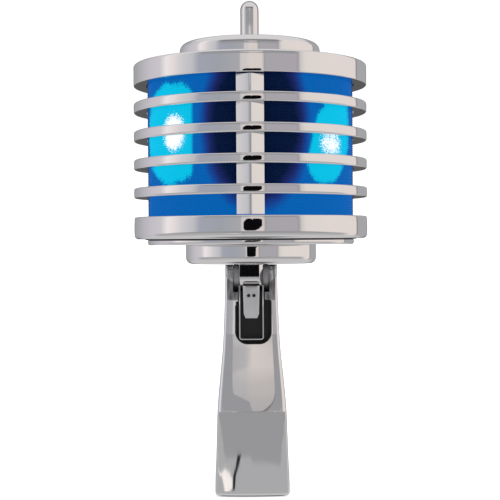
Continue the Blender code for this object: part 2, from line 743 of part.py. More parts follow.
def make_switch():
    finish(extruded("switch_plate", pocket_outline(GAP), *SWITCH_PLATE_Y, "Y"), "black_plastic")
    low, high = CHANNEL_Z
    outer = FRAME_HALF_WIDTH
    inner = outer - CHANNEL_WALL
    floor = low + CHANNEL_WALL
    corner = 0.8
    outline = [(outer, high), (outer, low + corner), (outer - corner, low),
               (-outer + corner, low), (-outer, low + corner), (-outer, high),
               (-inner, high), (-inner, floor + corner), (-inner + corner, floor),
               (inner - corner, floor), (inner, floor + corner), (inner, high)]
    finish(extruded("switch_frame", outline, *CHANNEL_Y, "Y"), "chrome")


def make_slider():
    """Tapered switch slider with two pips on its face."""
    low, high = SLIDER_Z
    narrow, wide = SLIDER_HALF_WIDTHS
    shoulder = low + SLIDER_CORNER_HEIGHT
    outline = [(wide, high), (-wide, high), (-wide + 0.25, shoulder), (-narrow, low), (narrow, low),
               (wide - 0.25, shoulder)]
    slider = extruded("switch_slider", outline, *SLIDER_Y, "Y")
    for name, x in (("left", -PIP_OFFSET), ("right", PIP_OFFSET)):
        at = (x, SLIDER_Y[0], low + PIP_HEIGHT)
        pip = rod(f"slider_pip_{name}", PIP_RADIUS, -PIP_PROUD, 0.5, 8, "Y", at, collection=CUTTERS)
        join(slider, pip)
    finish(slider, "steel")


def make_insert():
    piece = tube("thread_insert", INSERT_RADIUS, INSERT_BORE_RADIUS, *INSERT_Z, ROUND_STEPS)
    finish(smooth(piece), "brass")


def make_connector():
    at = (0.0, 0.0, PLUG_Z)
    shell = tube("connector_shell", SHELL_RADIUS, SHELL_BORE, *SHELL_Y, ROUND_STEPS, "Y", at)
    finish(smooth(shell), "chrome")
    insulator = rod("connector_insulator", SHELL_BORE - GAP, *INSULATOR_Y, ROUND_STEPS, "Y", at)
    for index, angle in enumerate(PIN_ANGLES):
        x, z = polar(PIN_CIRCLE, angle)
        spot = (x, 0.0, PLUG_Z + z)
        pin = rod(f"connector_pin_{index + 1}", PIN_RADIUS, *PIN_Y, SMALL_STEPS, "Y", spot, 0.4)
        finish(smooth(pin), "silver_pin")
        hole = rod(f"pin_hole_{index + 1}", PIN_RADIUS + GAP, PIN_Y[0] - GAP, 10.0, SMALL_STEPS, "Y", spot,
                   collection=CUTTERS)
        cut(insulator, hole)
    finish(smooth(insulator), "black_plastic")


# ---------------------------------------------------------------- assembly

STAND_PIECES = (
    "stand_body", "pivot_bolt", "pivot_nut", "friction_washer_left", "friction_washer_right", "switch_frame",
    "switch_plate", "thread_insert", "connector_shell", "connector_insulator",
    "connector_pin_1", "connector_pin_2", "connector_pin_3",
)


def make_axis(name, at):
    empty = bpy.data.objects.new(name, None)
    empty.location = Vector(at) * MM
    PARTS.objects.link(empty)
    return empty


def assemble():
    """Hang the head on the tilt axis and the slider on its slide."""
    tilt = make_axis("head_tilt_axis", (0.0, 0.0, AXIS_Z))
    slide = make_axis("switch_slide_axis", (0.0, SLIDER_Y[0], SLIDER_Z[1]))
    bpy.context.view_layer.update()
    for piece in [item for item in PARTS.objects if item.type == "MESH"]:
        if piece.name in STAND_PIECES:
            continue
        parent = slide if piece.name == "switch_slider" else tilt
        piece.parent = parent
        piece.matrix_parent_inverse = parent.matrix_world.inverted()


def main():
    make_finial()
    make_nut("finial_nut", 3.6, STUD_RADIUS + SCREW_CLEARANCE, CROWN_Z[1] - CROWN_TOP_THICKNESS - GAP - 2.4,
             CROWN_Z[1] - CROWN_TOP_THICKNESS - GAP)
    make_cap()
    make_crown()
    make_fins(make_spine_notches())
    make_spines()
    make_base_ring()
    make_base_plate()
    make_lower_boss()
    make_screen()
    make_rods()
    make_motor()
    make_transformer()
    make_lamps()
    make_tongue()
    make_pivot()
    make_stand_body()
    make_switch()
    make_slider()
    make_insert()
    make_connector()
    assemble()


main()
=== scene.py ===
"""Finished look of a ribbon microphone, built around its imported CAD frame.

Sizes are in millimetres and become metres where a mesh is made. The front faces -Y. An azimuth is measured
from the front, in degrees, and grows towards +X.
"""

import math

import bmesh
import bpy
import numpy as np
from mathutils import Matrix, Vector


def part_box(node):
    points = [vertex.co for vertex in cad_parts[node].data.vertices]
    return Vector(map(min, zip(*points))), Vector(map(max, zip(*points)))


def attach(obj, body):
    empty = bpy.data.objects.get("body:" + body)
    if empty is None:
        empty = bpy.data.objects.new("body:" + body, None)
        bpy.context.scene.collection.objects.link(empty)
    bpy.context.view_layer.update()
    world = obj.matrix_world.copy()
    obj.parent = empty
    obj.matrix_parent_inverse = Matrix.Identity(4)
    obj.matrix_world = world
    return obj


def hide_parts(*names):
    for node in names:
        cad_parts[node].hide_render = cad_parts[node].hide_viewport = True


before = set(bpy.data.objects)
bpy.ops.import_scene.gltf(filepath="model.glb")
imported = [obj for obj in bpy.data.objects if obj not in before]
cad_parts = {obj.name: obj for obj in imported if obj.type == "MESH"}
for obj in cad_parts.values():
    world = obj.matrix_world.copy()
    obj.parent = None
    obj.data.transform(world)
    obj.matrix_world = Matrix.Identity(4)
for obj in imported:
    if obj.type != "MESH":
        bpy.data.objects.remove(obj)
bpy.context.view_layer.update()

MM = 0.001
CLEARANCE = 0.3
# Past the end of whatever a cutter cuts
FAR = 20.0

# Head
RING_BORE = 37.3
RING_SEGMENTS = 240
RING_SPACING = 0.8
ROUND_SEGMENTS = 96
SMALL_SEGMENTS = 64
FINE_SEGMENTS = 48
PIN_SEGMENTS = 32
EDGE_ROUND = 0.45
FIN_ROUND = 0.5
FIN_CROWN = 0.06
BASE_RING_CROWN = 0.16
BASE_RING_LOWER_ROUND = 1.3
CROWN_RING_TOP_ROUND = 0.8
CAP_ROUND = 2.6
CAP_WALL = 2.4
CROWN_TOP_THICKNESS = 2.8
STEM_HOLE = 3.3
STUD_HOLE = 2.1
STUD_RADIUS = 1.8
BOSS_ROUND = 2.2
SPINE_RIDGE = 0.15
SPINE_SLOPE = 0.5
SPINE_BOW = 0.0245
# Width of the black ring that paints the shadow in the joint under the base ring
JOINT_SHADE_WIDTH = 3.0
LINER_WALL = 0.7
ROD_HOLE = 1.3
ROD_SEAT_DEPTH = 2.4
MESH_COLUMNS = 330
MESH_SEGMENTS = 180
MESH_PITCH = 0.72
MESH_WIRE = 0.17

# Stand: height and half width
STAND_WIDTHS = (
    (0.0, 13.15), (5.0, 13.1), (14.0, 12.77), (22.0, 12.53), (30.0, 12.26), (36.0, 11.8), (40.0, 11.43),
    (44.0, 11.04), (50.0, 10.43), (54.0, 10.13), (60.0, 9.84), (68.0, 9.5), (76.0, 9.35), (81.4, 9.35),
)
STAND_SQUARENESS = 12.0
STAND_BOW = 0.062
# How fast the half depth falls with height: a crease under the flare, and another under the cheeks
FOOT_DEPTH = 12.8
DEPTH_SLOPES = (
    (0.0, 0.032), (29.95, 0.032), (30.0, 0.16), (36.4, 0.18), (46.0, 0.175), (52.0, 0.168), (56.8, 0.16),
    (57.1, 0.035), (68.3, 0.02), (69.1, 0.2), (75.8, 0.24), (82.0, 0.24),
)
STAND_SEGMENTS = 240
STAND_LEVEL = 0.8
FOOT_ROUND = 1.4
CHEEK_BEVEL_REACH = 6.5
CHEEK_INNER_X = 6.5
CHEEK_SLOT = ((-20.0, -5.1), (2.6, -5.1), (4.4, -3.5), (5.1, -1.8), (20.0, 13.1), (20.0, 15.0), (-20.0, 15.0))
POCKET_Z = (53.3, 71.9)
POCKET_LEFT = -5.8
POCKET_RIGHT = 7.2
POCKET_LEFT_STEP_Z = 67.4
POCKET_RIGHT_STEP_Z = 69.1
POCKET_NECK_HALF_WIDTH = 4.8
POCKET_BACK_Y = 2.0
POCKET_CORNER = 4.4
# Wall of the switch's black lining, which paints the pocket's shade, and of its channel
LINING_AND_CHANNEL_WALL = 0.45
LINING_FRONT_Y = -6.5
SLIDER_TAPER = 0.87
SLIDER_SHOULDER = 1.6
SLIDER_RIM = 0.6
SLIDER_SLOPE = 3.6
PIP_SEGMENTS = 24
PIP_RADIUS = 0.6
PIP_X = 0.95
PIP_HEIGHT = 8.05
COLLAR_RADIUS = 11.6
COLLAR_Y = (4.0, 19.4)
THREAD_PITCH = 0.94
THREAD_DEPTH = 0.5
INSERT_BORE = 7.95
SHELL_BORE = 8.2
PIVOT_SHANK = 1.8
PIVOT_HOLE = 2.1
SLOT_WIDTH = 0.9
SLOT_DEPTH = 0.6
TONGUE_STEM = 3.0


# Pale sweep that the microphone stands on
FLOOR_GAP = 0.05
SWEEP_FLAT = 1400.0
SWEEP_CURVE = 800.0
SWEEP_TOP = 2600.0

# Painted shade high on the stand, under the head: a streaked darker grey in the chrome. Its lower edge, and
# where it fades out to the sides
CHEEK_SHADE_Z = 68.6
CHEEK_SHADE_FADE_X = (8.7, 8.3)

# Painted reflections of the side lights on the screen, made to glow: cyan pools and their speckled white
# cores, left and right: degrees from the front, or millimetres
POOL_TURN = (49.0, 51.0)
POOL_LEVEL = (126.8, 124.6)
POOL_HALF_TURN = (27.0, 18.5)
POOL_HALF_HEIGHT = (17.2, 15.3)
POOL_INNER_TURN = (32.6, 35.3)
POOL_LEAN = (0.0, 0.45)
CORE_TURN = (46.0, 49.8)
CORE_LEVEL = (127.0, 122.8)
CORE_HALF_TURN = (9.0, 7.5)
CORE_HALF_HEIGHT = (6.4, 3.4)
CORE_SPECKLE = (1.0, 2.6)
# Painted shade on the screen in front, a painted reflection of the dark camera, and its colours from the
# middle outwards
SHADE_TURN = 3.0
SHADE_LEVEL = 128.8
SHADE_HALF_TURN = 26.0
SHADE_HALF_HEIGHT = 25.0
SHADE_COLOURS = (
    (0.0, (0.0, 0.002, 0.018)), (0.36, (0.0, 0.003, 0.025)), (0.50, (0.009, 0.014, 0.10)),
    (0.62, (0.006, 0.05, 0.26)), (0.75, (0.0, 0.112, 0.40)),
)


# ---------------------------------------------------------------- meshes

def box_mm(node):
    low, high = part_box(node)
    return low / MM, high / MM


def add_piece(bm, name):
    mesh = bpy.data.meshes.new(name)
    bmesh.ops.recalc_face_normals(bm, faces=bm.faces)
    bm.to_mesh(mesh)
    bm.free()
    piece = bpy.data.objects.new(name, mesh)
    bpy.context.scene.collection.objects.link(piece)
    return piece


def smooth(piece, angle=38.0):
    piece.data.shade_smooth()
    piece.data.set_sharp_from_angle(angle=math.radians(angle))
    return piece


def unit(angle):
    turn = math.radians(angle)
    return math.cos(turn), math.sin(turn)


def rounded(corners, radii, steps=6):
    """A closed outline with an arc of the given radius at each corner."""
    outline = []
    count = len(corners)
    for index, (corner, radius) in enumerate(zip(corners, radii)):
        point = Vector(corner)
        if not radius:
            outline.append(tuple(point))
            continue
        before = (Vector(corners[index - 1]) - point).normalized()
        after = (Vector(corners[(index + 1) % count]) - point).normalized()
        half = before.angle(after) * 0.5
        centre = point + (before + after).normalized() * (radius / math.sin(half))
        start = point + before * (radius / math.tan(half)) - centre
        sweep = start.angle_signed(point + after * (radius / math.tan(half)) - centre)
        for step in range(steps + 1):
            turn = -sweep * step / steps
            spoke = Vector((start.x * math.cos(turn) - start.y * math.sin(turn),
                            start.x * math.sin(turn) + start.y * math.cos(turn)))
            outline.append(tuple(centre + spoke))
    return outline


def dome(radius, top, steps):
    """Outline of a round end, from the axis out to its rim."""
    outline = [(0.0, top)]
    for step in range(1, steps + 1):
        across, up = unit(90.0 - 90.0 * step / steps)
        outline.append((radius * across, top - radius + radius * up))
    return outline


def spread(outline, spacing, closed=True):
    """The outline with extra points, so that none of its sides is longer than the spacing."""
    ends = outline[1:] + outline[:1] if closed else outline[1:]
    points = []
    for start, end in zip(outline, ends):
        count = max(1, math.ceil(math.dist(start, end) / spacing))
        for step in range(count):
            share = step / count
            points.append(tuple(a + (b - a) * share for a, b in zip(start, end)))
    if not closed:
        points.append(outline[-1])
    return points


def crowned(outline, face, low, high, bulge):
    """Bows out the part of a ring's outline that lies at or beyond the face's radius."""
    middle = (low + high) * 0.5
    half = (high - low) * 0.5
    shaped = []
    for radius, height in outline:
        if radius > face - 1.0:
            radius += bulge * (1.0 - ((height - middle) / half) ** 2)
        shaped.append((radius, height))
    return shaped


AXIS_TURN = {
    "Z": Matrix.Identity(4),
    "Y": Matrix.Rotation(math.radians(-90.0), 4, "X"),
    "X": Matrix.Rotation(math.radians(90.0), 4, "Y"),
}


def add_loop(bm, points):
    return [bm.verts.new((x * MM, y * MM, z * MM)) for x, y, z in points]


def circle(radius, height, segments, bend=None):
    """Points round the Z axis. bend changes the radius by its angle from +X."""
    points = []
    for step in range(segments):
        turn = 360.0 * step / segments
        reach = bend(turn, radius) if bend else radius
        across, deep = unit(turn)
        points.append((reach * across, reach * deep, height))
    return points


def bridge(bm, loops, closed=False):
    """Faces from each loop to the next, and from the last to the first if closed. A loop on the axis is one
    vertex, repeated."""
    for first, second in zip(loops, loops[1:] + loops[:1] if closed else loops[1:]):
        for step in range(len(first)):
            after = (step + 1) % len(first)
            corners = list(dict.fromkeys((first[step], first[after], second[after], second[step])))
            if len(corners) > 2:
                bm.faces.new(corners)


def close_ends(bm, loops):
    bm.faces.new(loops[0])
    bm.faces.new(list(reversed(loops[-1])))


def lathe(name, outline, segments, axis="Z", at=(0.0, 0.0, 0.0), closed=True, bend=None):
    """A turned piece. The outline holds (radius, height) points, and a radius of 0 is a point on the axis."""
    bm = bmesh.new()
    loops = []
    for radius, height in outline:
        if radius == 0.0:
            loops.append([bm.verts.new((0.0, 0.0, height * MM))] * segments)
        else:
            loops.append(add_loop(bm, circle(radius, height, segments, bend)))
    bridge(bm, loops, closed)
    bmesh.ops.transform(bm, matrix=Matrix.Translation(Vector(at) * MM) @ AXIS_TURN[axis], verts=bm.verts)
    return smooth(add_piece(bm, name))


def turned_ring(name, corners, radii, steps=6):
    """A large turned piece with rounded corners."""
    return lathe(name, spread(rounded(corners, radii, steps), RING_SPACING), RING_SEGMENTS)


def prism(name, outline, low, high, axis="Z"):
    """A flat outline, extruded along an axis. It lies in (X, Y), in (X, Z) for Y, or in (Y, Z) for X."""
    bm = bmesh.new()

    def place(point, along):
        a, b = point
        return {"Z": (a, b, along), "Y": (a, along, b), "X": (along, a, b)}[axis]

    ends = [add_loop(bm, [place(point, along) for point in outline]) for along in (low, high)]
    bridge(bm, ends)
    close_ends(bm, ends)
    return add_piece(bm, name)


def block(name, low, high):
    corners = [(low[0], low[1]), (high[0], low[1]), (high[0], high[1]), (low[0], high[1])]
    return prism(name, corners, low[2], high[2])


def apply_modifiers(piece):
    depsgraph = bpy.context.evaluated_depsgraph_get()
    mesh = bpy.data.meshes.new_from_object(piece.evaluated_get(depsgraph))
    piece.modifiers.clear()
    piece.data = mesh
    return piece


def boolean(piece, others, operation="DIFFERENCE"):
    """Cuts or joins pieces, and removes what it used."""
    for other in others:
        modifier = piece.modifiers.new("shape", "BOOLEAN")
        modifier.operation = operation
        modifier.solver = "EXACT"
        modifier.object = other
        apply_modifiers(piece)
        bpy.data.objects.remove(other, do_unlink=True)
    return piece


def bevelled(piece, width, segments=3, angle=32.0):
    """Rounds the sharp edges, and keeps flat faces flat in the shading."""
    piece.data.shade_smooth()
    bevel = piece.modifiers.new("edges", "BEVEL")
    bevel.width = width * MM
    bevel.segments = segments
    bevel.limit_method = "ANGLE"
    bevel.angle_limit = math.radians(angle)
    bevel.harden_normals = True
    bevel.use_clamp_overlap = True
    return piece


def finish(piece, material, slot, body, *nodes):
    """Gives a piece its material, its body and the frame's nodes that it stands for, if any."""
    piece.data.materials.clear()
    piece.data.materials.append(material)
    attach(piece, body)
    if nodes:
        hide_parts(*nodes)


# ---------------------------------------------------------------- node graphs

class Graph:
    """Short names for the nodes that the materials and the light are made of."""

    def __init__(self, tree):
        self.tree = tree

    def link(self, value, socket):
        if isinstance(value, bpy.types.NodeSocket):
            self.tree.links.new(value, socket)
        else:
            socket.default_value = value

    def add(self, kind, inputs=(), **settings):
        """A new node. Its inputs are sockets or plain values, by name or number."""
        node = self.tree.nodes.new(kind)
        for key, value in settings.items():
            setattr(node, key, value)
        for key, value in dict(inputs).items():
            self.link(value, node.inputs[key])
        return node

    def feed(self, **inputs):
        """Fills in the material's shader, with _ for the spaces in a socket's name."""
        shader = self.tree.nodes["Principled BSDF"]
        for key, value in inputs.items():
            self.link(value, shader.inputs[key.replace("_", " ")])

    def math(self, operation, *values):
        return self.add("ShaderNodeMath", enumerate(values), operation=operation).outputs[0]

    def times(self, first, *others):
        for other in others:
            first = self.math("MULTIPLY", first, other)
        return first

    def plus(self, first, second):
        return self.math("ADD", first, second)

    def minus(self, first, second):
        return self.math("SUBTRACT", first, second)

    def divide(self, first, second):
        return self.math("DIVIDE", first, second)

    def step(self, value, start, end):
        """0 at start and 1 at end, with soft shoulders."""
        inputs = enumerate((value, start, end, 0.0, 1.0))
        return self.add("ShaderNodeMapRange", inputs, interpolation_type="SMOOTHSTEP").outputs[0]

    def between(self, value, low, high):
        """A 0 to 1 value, moved to another range."""
        return self.add("ShaderNodeMapRange", enumerate((value, 0.0, 1.0, low, high))).outputs[0]

    def mix(self, factor, first, second):
        inputs = {0: factor}
        for key, value in ((6, first), (7, second)):
            inputs[key] = value if isinstance(value, bpy.types.NodeSocket) else (*value, 1.0)
        return self.add("ShaderNodeMix", inputs, data_type="RGBA").outputs[2]

    def ramp(self, value, stops):
        node = self.add("ShaderNodeValToRGB", {0: value})
        elements = node.color_ramp.elements
        while len(elements) < len(stops):
            elements.new(0.5)
        for element, (position, colour) in zip(elements, stops):
            element.position = position
            element.color = (*colour, 1.0)
        return node.outputs[0]

    def track(self, value, points):
        """A number that follows the points, in straight lines from one to the next."""
        starts, heights = zip(*points)
        low, high = min(heights), max(heights)
        first, span = starts[0], starts[-1] - starts[0]
        stops = [((start - first) / span, [(height - low) / (high - low)] * 3) for start, height in points]
        share = self.divide(self.minus(value, first), span)
        return self.math("MULTIPLY_ADD", self.ramp(share, stops), high - low, low)

    def place(self, scale=(1.0, 1.0, 1.0)):
        """Position on the object in millimetres, times a scale for each axis."""
        coordinates = self.add("ShaderNodeTexCoord").outputs["Object"]
        inputs = {"Vector": coordinates, "Scale": [part / MM for part in scale]}
        return self.add("ShaderNodeMapping", inputs, vector_type="POINT").outputs[0]

    def split(self, vector):
        return self.add("ShaderNodeSeparateXYZ", {0: vector}).outputs

    def noise(self, size, detail=3.0, scale=(1.0, 1.0, 1.0)):
        """Noise with features about as wide as the size, in millimetres."""
        inputs = {"Vector": self.place(scale), "Scale": 1.0 / size, "Detail": detail, "Roughness": 0.55}
        return self.add("ShaderNodeTexNoise", inputs).outputs[0]

    def wave(self, size, direction="Z", distortion=0.0):
        """Fine parallel lines across a direction, a size apart in millimetres."""
        inputs = {"Vector": self.place(), "Scale": 0.314 / size, "Distortion": distortion}
        node = self.add("ShaderNodeTexWave", inputs, wave_type="BANDS", bands_direction=direction)
        return node.outputs[1]

    def bump(self, height, strength, distance):
        inputs = {"Strength": strength, "Distance": distance * MM, "Height": height}
        return self.add("ShaderNodeBump", inputs).outputs[0]


def start_material(name, **inputs):
    material = bpy.data.materials.new(name)
    material.use_nodes = True
    graph = Graph(material.node_tree)
    graph.feed(**inputs)
    return material, graph


def make_metal(name, colour, roughness, grain, grain_size, grain_scale=(1.0, 1.0, 1.0)):
    """Bare metal: handling haze in its gloss, small changes of colour, and a fine grain. The grain has a
    depth and a size, and its scale draws it out into lines."""
    material, graph = start_material(name, Metallic=1.0)
    haze = graph.noise(9.0, detail=4.0)
    tint = graph.noise(3.0, detail=2.0)
    dark = tuple(part * 0.94 for part in colour)
    lines = graph.noise(grain_size, detail=2.0, scale=grain_scale)
    graph.feed(Base_Color=graph.mix(tint, dark, colour), Roughness=graph.between(haze, *roughness),
               Normal=graph.bump(lines, 1.0, grain))
    return material


def make_chrome(name="chrome", shade_from=None, rim_shade=False):
    """Polished plate: a mirror with faint handling haze and hairline polishing marks. It can be painted a
    streaked darker grey above a height, a painted shade for the dark that the stand mirrors under the head,
    and a slim round piece can darken towards its rim, a painted shade for the dark room that its edges
    mirror."""
    material, graph = start_material(name, Metallic=1.0)
    tint = graph.noise(4.0, detail=2.0)
    colour = graph.mix(tint, (0.79, 0.78, 0.79), (0.81, 0.80, 0.81))
    # Painted shade: above a height and away from the sides, a streaked darker grey
    if shade_from:
        across, _, height = graph.split(graph.place())
        streaks = graph.noise(1.1, detail=4.0, scale=(1.0, 0.3, 0.22))
        painted_grey = graph.mix(graph.step(streaks, 0.36, 0.62), (0.26, 0.26, 0.27), (0.62, 0.62, 0.63))
        inward = graph.step(graph.math("ABSOLUTE", across), *CHEEK_SHADE_FADE_X)
        share = graph.times(graph.step(height, shade_from, shade_from + 1.0), inward)
        colour = graph.mix(share, colour, painted_grey)
    # Painted shade: darker where the surface turns away, standing for the dark room mirrored at the rim
    if rim_shade:
        facing = graph.add("ShaderNodeLayerWeight", {"Blend": 0.5}).outputs["Facing"]
        colour = graph.mix(graph.step(facing, 0.42, 0.72), colour, (0.13, 0.13, 0.14))
    haze = graph.noise(7.0, detail=5.0)
    marks = graph.noise(0.5, detail=3.0, scale=(1.0, 1.0, 0.12))
    gloss = graph.plus(graph.between(haze, 0.0, 0.035), graph.between(marks, 0.0, 0.02))
    graph.feed(Base_Color=colour, Roughness=gloss, Normal=graph.bump(marks, 1.0, 0.0004))
    return material


def painted_screen_light(graph):
    """The colour of the lit screen, by position, partly lamp glow and partly painted light: a dark front that
    paints the reflection of the dark camera, blue round the sides, and a cyan pool with a white core in front
    of each of the four lamps, placed and shaped as painted reflections of the side lights. Also gives the
    fine grain that it is made with."""
    across, deep, height = graph.split(graph.place())
    azimuth = graph.math("DEGREES", graph.math("ARCTAN2", across, graph.math("ABSOLUTE", deep)))
    turn = graph.math("ABSOLUTE", azimuth)
    on_right = graph.math("GREATER_THAN", across, 0.0)
    grain = graph.noise(0.55, detail=1.0)
    cloud = graph.noise(5.0, detail=3.0)

    def by_side(values):
        left, right = values
        return graph.math("MULTIPLY_ADD", on_right, right - left, left)

    def oval(aside, half_width, above, half_height):
        """1 on an oval's edge, and less inside it."""
        aside, above = graph.divide(aside, half_width), graph.divide(above, half_height)
        return graph.plus(graph.times(aside, aside), graph.times(above, above))

    def pool(centre, level, half_turn, half_height):
        return oval(graph.minus(turn, centre), by_side(half_turn), graph.minus(height, by_side(level)),
                    by_side(half_height))

    # Painted reflections of the side lights: a cyan pool on each side, cut off on its inner edge, with a
    # speckled white core
    lean = graph.times(graph.minus(height, POOL_LEVEL[1]), by_side(POOL_LEAN))
    painted_pool = pool(graph.plus(by_side(POOL_TURN), lean), POOL_LEVEL, POOL_HALF_TURN, POOL_HALF_HEIGHT)
    rough = graph.plus(graph.between(grain, -0.25, 0.25), graph.between(cloud, -0.3, 0.3))
    painted_pool = graph.step(graph.plus(painted_pool, rough), 1.08, 0.92)
    inner = graph.minus(turn, graph.plus(by_side(POOL_INNER_TURN), lean))
    painted_pool = graph.times(painted_pool, graph.step(inner, -0.8, 0.8))
    core = pool(by_side(CORE_TURN), CORE_LEVEL, CORE_HALF_TURN, CORE_HALF_HEIGHT)
    speckle = graph.times(graph.between(grain, -1.1, 1.1), by_side(CORE_SPECKLE))
    core = graph.step(graph.plus(core, speckle), 0.9, 0.7)
    # Painted reflection of the dark camera: dark in front, blue towards the sides
    shade = oval(graph.minus(azimuth, SHADE_TURN), SHADE_HALF_TURN, graph.minus(height, SHADE_LEVEL),
                 SHADE_HALF_HEIGHT)
    shade = graph.plus(shade, graph.between(cloud, -0.12, 0.12))
    front = graph.ramp(graph.divide(shade, 2.0), SHADE_COLOURS)
    side = graph.mix(graph.step(turn, 74.0, 82.0), front, (0.0, 0.03, 0.13))
    lit = graph.mix(painted_pool, side, (0.0, 0.50, 0.70))
    return graph.mix(core, lit, (0.95, 0.97, 1.0)), grain


def make_screen_materials():
    # The wire and the cloth behind it both emit the screen's colour: lamp glow with painted reflections and
    # painted shade in it
    wire, graph = start_material("blue_wire", Metallic=0.6, Roughness=0.38, Emission_Strength=0.75)
    colour, grain = painted_screen_light(graph)
    graph.feed(Base_Color=graph.mix(0.35, colour, (0.0, 0.05, 0.2)), Emission_Color=colour,
               Normal=graph.bump(grain, 0.4, 0.02))
    cloth, graph = start_material("painted_light_cloth", Roughness=0.9, Emission_Strength=1.0)
    colour, grain = painted_screen_light(graph)
    graph.feed(Base_Color=(0.0, 0.02, 0.06, 1.0), Emission_Color=colour, Normal=graph.bump(grain, 0.5, 0.05))
    return wire, cloth


def make_plastic(name, colour, roughness=(0.3, 0.5)):
    material, graph = start_material(name, Specular_IOR_Level=0.4)
    pale = tuple(part * 1.6 + 0.004 for part in colour)
    graph.feed(Base_Color=graph.mix(graph.noise(1.2), colour, pale),
               Roughness=graph.between(graph.noise(4.0), *roughness),
               Normal=graph.bump(graph.noise(0.18, detail=1.0), 0.6, 0.01))
    return material


def make_lamp_glass():
    material, graph = start_material("lamp_glass", Roughness=0.08, Transmission_Weight=0.5, IOR=1.5,
                                     Emission_Strength=3.0)
    cloud = graph.noise(1.6)
    graph.feed(Base_Color=graph.mix(cloud, (0.05, 0.35, 0.9), (0.4, 0.8, 1.0)),
               Emission_Color=graph.mix(cloud, (0.1, 0.6, 1.0), (0.7, 0.95, 1.0)))
    return material


def make_winding():
    """Enamelled wire, laid in fine level turns."""
    material, graph = start_material("winding", Metallic=0.9, Coat_Weight=0.5, Coat_Roughness=0.1)
    turns = graph.wave(0.35)
    graph.feed(Base_Color=graph.mix(turns, (0.28, 0.07, 0.02), (0.75, 0.33, 0.14)),
               Roughness=graph.between(graph.noise(2.0), 0.25, 0.4), Normal=graph.bump(turns, 1.0, 0.08))
    return material


def make_board():
    """Green board: glass weave under a lacquer, and plain copper tracks."""
    material, graph = start_material("circuit_board", Coat_Weight=0.6, Coat_Roughness=0.15)
    weave = graph.times(graph.wave(0.5, "X"), graph.wave(0.5, "Z"))
    green = graph.mix(weave, (0.006, 0.05, 0.02), (0.012, 0.11, 0.045))
    tracks = graph.math("GREATER_THAN", graph.wave(2.6, "Z", distortion=2.5), 0.86)
    graph.feed(Base_Color=graph.mix(tracks, green, (0.05, 0.22, 0.08)),
               Roughness=graph.between(weave, 0.35, 0.5), Normal=graph.bump(tracks, 0.5, 0.03))
    return material


CHROME = make_chrome()
RIM_SHADED_CHROME = make_chrome("rim_shaded_chrome", rim_shade=True)
CHEEK_SHADED_CHROME = make_chrome("cheek_shaded_chrome", shade_from=CHEEK_SHADE_Z)
BLUE_WIRE, PAINTED_LIGHT_CLOTH = make_screen_materials()
STEEL = make_metal("satin_steel", (0.56, 0.56, 0.57), (0.22, 0.34), 0.002, 0.15, (1.0, 1.0, 0.05))
GREY_STEEL = make_metal("slider_steel", (0.86, 0.86, 0.87), (0.42, 0.56), 0.002, 0.12, (0.05, 1.0, 1.0))
DARK_STEEL = make_metal("washer_steel", (0.42, 0.42, 0.43), (0.45, 0.6), 0.003, 0.15, (1.0, 0.05, 1.0))
MAGNET = make_metal("magnet_alloy", (0.30, 0.30, 0.32), (0.4, 0.55), 0.006, 0.25, (1.0, 0.1, 1.0))
FOIL = make_metal("foil", (0.87, 0.87, 0.88), (0.12, 0.25), 0.003, 0.4)
BRASS = make_metal("turned_brass", (0.80, 0.60, 0.30), (0.16, 0.3), 0.003, 0.12, (0.1, 0.1, 1.0))
PIN = make_metal("silver_pin", (0.84, 0.83, 0.80), (0.08, 0.18), 0.001, 0.2)
BLACK = make_plastic("black_plastic", (0.008, 0.008, 0.009))
LAMP = make_lamp_glass()
WINDING = make_winding()
BOARD = make_board()


# ---------------------------------------------------------------- head

def ring_outline(node, bore, upper_round, lower_round, crown):
    low, high = box_mm(node)
    outer = high.x - crown
    corners = [(outer, high.z), (outer, low.z), (bore, low.z), (bore, high.z)]
    outline = rounded(corners, [upper_round, lower_round, 0.15, 0.15])
    return crowned(spread(outline, 0.6), outer, low.z, high.z, crown)


def spine_face(across, front, margin=0.0):
    """How far forward the spine's face is: two flanks that meet in a soft ridge."""
    fall = SPINE_SLOPE * (math.hypot(across, SPINE_RIDGE) - SPINE_RIDGE) + SPINE_BOW * across * across
    return front + margin - fall


def notch_bend(front, half_width):
    """Widens a fin's bore round the spines, which stand at azimuths 90 and 270 of the lathe."""
    def bend(turn, radius):
        if radius > RING_BORE + 0.5:
            return radius
        across = radius * abs(unit(turn)[0])
        if across > half_width + CLEARANCE:
            return radius
        face = spine_face(across, front, CLEARANCE)
        return max(radius, math.hypot(across, face))
    return bend


def make_fins():
    spine = box_mm("spine_rear")[1]
    bend = notch_bend(spine.y, spine.x)
    for number in (1, 2, 3, 4):
        node = f"fin_{number}"
        outline = ring_outline(node, RING_BORE, FIN_ROUND, FIN_ROUND, FIN_CROWN)
        fin = lathe(f"polished_{node}", outline, RING_SEGMENTS, bend=bend)
        finish(fin, CHROME, "chrome", "head", node)


def make_base_ring():
    outline = ring_outline("base_ring", RING_BORE, EDGE_ROUND, BASE_RING_LOWER_ROUND, BASE_RING_CROWN)
    finish(lathe("polished_base_ring", outline, RING_SEGMENTS), CHROME, "chrome", "head", "base_ring")


def make_crown_ring():
    low, high = box_mm("crown_ring")
    ceiling = high.z - CROWN_TOP_THICKNESS
    corners = [(high.x, high.z), (high.x, low.z), (RING_BORE, low.z), (RING_BORE, ceiling),
               (STUD_HOLE, ceiling), (STUD_HOLE, high.z)]
    ring = turned_ring("polished_crown_ring", corners, [CROWN_RING_TOP_ROUND, 0.3, 0.15, 0.15, 0.0, 0.2])
    finish(ring, CHROME, "chrome", "head", "crown_ring")


